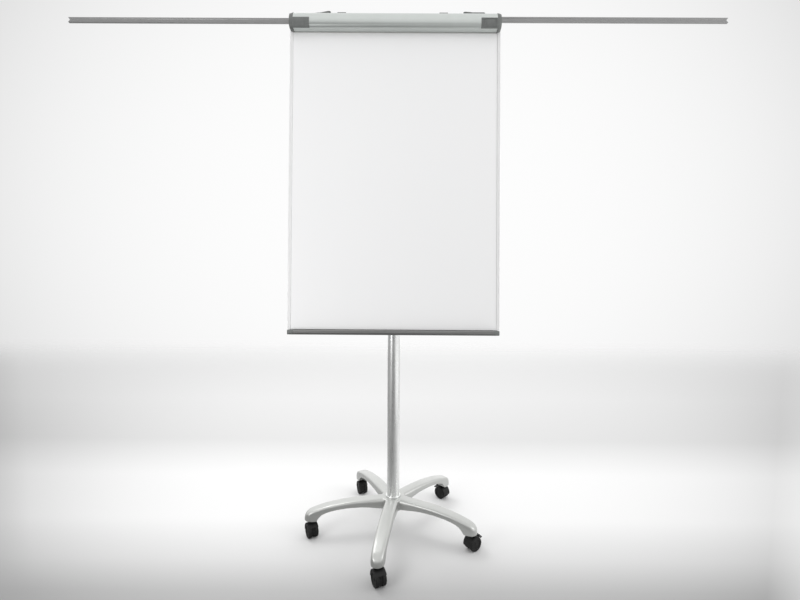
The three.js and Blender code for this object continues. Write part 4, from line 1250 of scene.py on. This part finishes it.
# Tone of the floor by its distance behind the column, in metres: painted light and shade, bright round the stand
# and painted darker towards the writer
FLOOR_PAINTED_LIGHT_TONES = [(-3.0, 0.35), (-1.5, 0.38), (-0.55, 0.40), (-0.34, 0.49), (-0.18, 0.73), (0.05, 0.93),
               (0.42, 0.965), (0.84, 0.80), (1.6, 0.895), (4.2, 0.965)]
FLOOR_LIGHT = 1.25  # light that reaches the bare floor
FLOOR_PAINTED_SIDE_SHADE = (0.41, 0.25)  # painted shade towards the sides, 1 m and 4 m behind the column
FLOOR_SLOPES = (0.86, 1.2)  # slopes from the viewpoint over which the floor meets its margins
PAINTED_MARGIN_TONES = (0.30, 0.92)  # left and right margins: painted shade on the left margin, the right margin pale
PAINTED_REFLECTION_SHADE = (0.35, 1.0)  # painted shade in reflections: share of the floor's tone that reflections see, at the front left and the back right


def falloff(graph, sideways, strength):
    """A factor that drops with the cube of a sideways slope from the viewpoint."""
    cube = graph.math("POWER", sideways, 3.0)
    return graph.math("SUBTRACT", 1.0, graph.math("MULTIPLY", cube, strength))


def add_floor():
    """A pale floor with painted shade: darker towards the writer and the sides, and darker still in reflections.
    """
    mesh = bpy.data.meshes.new("floor")
    back = COLUMN.y + FLOOR_FADES[1]
    corners = [(-FLOOR_HALF_WIDTH, FLOOR_FRONT), (FLOOR_HALF_WIDTH, FLOOR_FRONT),
               (FLOOR_HALF_WIDTH, back), (-FLOOR_HALF_WIDTH, back)]
    mesh.from_pydata([(x, y, 0) for x, y in corners], [], [(0, 1, 2, 3)])
    finish = Finish("floor", specular=0.1)
    finish.shader.inputs["Roughness"].default_value = 0.8
    parts = finish.node("SeparateXYZ", Vector=finish.place).outputs
    # painted light and shade: the floor's tone follows its distance behind the column
    start, end = FLOOR_PAINTED_LIGHT_TONES[0][0], FLOOR_PAINTED_LIGHT_TONES[-1][0]
    depth = finish.ranged(parts["Y"], 0, 1, start + COLUMN.y, end + COLUMN.y)
    ramp = finish.node("ValToRGB", Fac=depth)
    stops = ramp.color_ramp.elements
    while len(stops) < len(FLOOR_PAINTED_LIGHT_TONES):
        stops.new(0.5)
    for stop, (distance, tone) in zip(stops, FLOOR_PAINTED_LIGHT_TONES):
        stop.position = (distance - start) / (end - start)
        stop.color = grey(tone / FLOOR_LIGHT)
    across = finish.math("SUBTRACT", parts["X"], COLUMN.x + CAMERA_PLACE.x)
    beside = finish.math("ABSOLUTE", across)
    away = finish.math("SUBTRACT", parts["Y"], COLUMN.y + CAMERA_PLACE.y)
    slope = finish.math("MINIMUM", finish.math("DIVIDE", beside, finish.math("MAXIMUM", away, 0.9)), 1.6)
    # painted shade that darkens the floor towards the sides
    weight = finish.ranged(parts["Y"], *FLOOR_PAINTED_SIDE_SHADE, COLUMN.y + 1, COLUMN.y + 4)
    tone = finish.node("VectorMath", operation="SCALE")
    finish.put(tone.inputs[0], ramp.outputs[0])
    # painted shade seen only in reflections: to other rays the floor is darker at the front left
    sideways = finish.math("MULTIPLY", parts["X"], 0.9)
    towards = finish.math("ADD", sideways, finish.math("MULTIPLY", parts["Y"], 0.45))
    reflected_floor_shade = finish.ranged(towards, *PAINTED_REFLECTION_SHADE, -0.6, 0.25, "SMOOTHSTEP")
    reflected_floor_shade = finish.math("MAXIMUM", finish.node("LightPath").outputs["Is Camera Ray"], reflected_floor_shade)
    finish.put(tone.inputs["Scale"], finish.math("MULTIPLY", falloff(finish, slope, weight), reflected_floor_shade))
    outside = finish.ranged(slope, 0, 1, *FLOOR_SLOPES)
    # painted shade: the floor's far sides, mostly seen in reflections, dark on the left
    painted_margin_shade = finish.mixed(finish.ranged(across, 0, 1, -0.6, 0.6), *[grey(tone) for tone in PAINTED_MARGIN_TONES])
    finish.colour(finish.mixed(outside, tone.outputs[0], painted_margin_shade))
    solid = finish.ranged(parts["Y"], 1, 0, *[COLUMN.y + fade for fade in FLOOR_FADES], "SMOOTHSTEP")
    finish.put(finish.shader.inputs["Alpha"], solid)
    mesh.materials.append(finish.material)
    floor = bpy.data.objects.new("floor", mesh)
    bpy.context.scene.collection.objects.link(floor)


def add_light(name, place, target, size, power):
    """A soft rectangular light that isn't seen itself."""
    data = bpy.data.lights.new(name, "AREA")
    data.shape = "RECTANGLE"
    data.size, data.size_y = size
    data.energy = power
    light = bpy.data.objects.new(name, data)
    light.location = place
    light.rotation_mode = "QUATERNION"
    light.rotation_quaternion = (Vector(target) - Vector(place)).to_track_quat("-Z", "Y")
    light.visible_camera = False
    bpy.context.scene.collection.objects.link(light)


BACKDROP_RISE = 0.15  # slope at which the backdrop is brightest
# Dark screens round the object: direction, cosines of its soft edge, heights over which it
# starts, heights over which it ends, strength
SCREENS = [
    ((-0.76, -0.65, 0), (0.66, 0.84), (-0.3, -0.2), (0.25, 0.6), 0.85),
    ((0, -1, 0), (0.8, 0.95), (-0.6, -0.5), (0.1, 0.6), 0.55),
]


def add_world():
    """A pale room with dark screens in front and on the left; the viewer sees a soft backdrop."""
    world = bpy.data.worlds.new("studio")
    world.use_nodes = True
    bpy.context.scene.world = world
    graph = Graph(world.node_tree)
    direction = graph.node("TexCoord").outputs["Generated"]
    parts = graph.node("SeparateXYZ", Vector=direction).outputs
    away = graph.math("MAXIMUM", graph.math("ABSOLUTE", parts["Y"]), 0.4)
    across = graph.math("DIVIDE", parts["X"], away)
    rise = graph.math("SUBTRACT", graph.math("DIVIDE", parts["Z"], away), BACKDROP_RISE)
    across = graph.math("MULTIPLY", across, across)
    rise = graph.math("MULTIPLY", graph.math("MULTIPLY", rise, rise), 1.6)
    slope = graph.math("MINIMUM", graph.math("SQRT", graph.math("ADD", across, rise)), 1.1)
    backdrop = graph.math("MULTIPLY", falloff(graph, slope, 0.22), 0.985)
    room = graph.ranged(parts["Y"], 1.1, 1.4, 0.5, 0.95, "SMOOTHSTEP")
    for place, edge, foot, top, strength in SCREENS:
        towards = graph.node("VectorMath", operation="DOT_PRODUCT")
        graph.put(towards.inputs[0], direction)
        graph.put(towards.inputs[1], place)
        screen = graph.ranged(towards.outputs["Value"], 0, strength, *edge, "SMOOTHSTEP")
        for low, high, heights in ((0, 1, foot), (1, 0, top)):
            fade = graph.ranged(parts["Z"], low, high, *heights, "SMOOTHSTEP")
            screen = graph.math("MULTIPLY", screen, fade)
        room = graph.math("MULTIPLY", room, graph.math("SUBTRACT", 1.0, screen))
    seen = graph.node("LightPath").outputs["Is Camera Ray"]
    tone = graph.node("Mix", Factor=seen)
    graph.put(tone.inputs[2], room)
    graph.put(tone.inputs[3], backdrop)
    graph.put(graph.tree.nodes["Background"].inputs["Color"], tone.outputs[0])


def add_studio():
    add_floor()
    add_world()
    add_light("side", (-1.3, -1.35, 0.88), (0, -0.1, 1.1), (0.8, 0.8), 10.5)
    add_light("fill", (2.4, -0.5, 1.4), (0, 0, 0.1), (1.6, 1.2), 13)
    add_light("overhead", (-1.0, 0.9, 2.4), (0, 0, 0), (0.9, 0.9), 12)
    bpy.context.scene.view_settings.view_transform = "Standard"


# ---------- the object


def add_object():
    install("base_star", star_base(), DEVICE, 80)
    install("column_foot_ring", foot_ring(), DEVICE)
    add_castors()
    for node, make in (("outer_tube", outer_tube), ("guide_bush", guide_bush), ("lock_collar", lock_collar),
                       ("lock_knob", lock_knob), ("inner_tube", inner_tube),
                       ("head_bracket", head_bracket), ("bracket_bolt", bracket_bolt)):
        install(node, make(), DEVICE)
    show("bracket_screws", bracket_screws(), BOARD, "head", "zinc_steel")
    install("writing_sheet", slab("writing_sheet", 0.3), BOARD)
    install("board_core", slab("board_core", 0.5), BOARD)
    for node, make in (("pen_tray", pen_tray), ("top_rail", top_rail), ("hinge_rod", hinge_rod),
                       ("clamp_jaw", clamp_jaw), ("jaw_grip_strip", grip_strip), ("arm_rail", arm_rail)):
        install(node, make(), BOARD)
    for label, side in SIDES.items():
        for name, make, which in (
            ("side_profile", side_profile, side), ("tray_cap", tray_cap, side), ("jaw_cap", jaw_cap, side),
            ("jaw_spring", jaw_spring, side), ("pad_hook", pad_hook, label), ("rail_end", rail_end, label),
            ("arm", paper_arm, side),
        ):
            install(f"{name}_{label}", make(which), BOARD)
        install(f"arm_lock_{label}", arm_lock(label), arm_lock_place(label))


add_camera()
add_object()
add_studio()
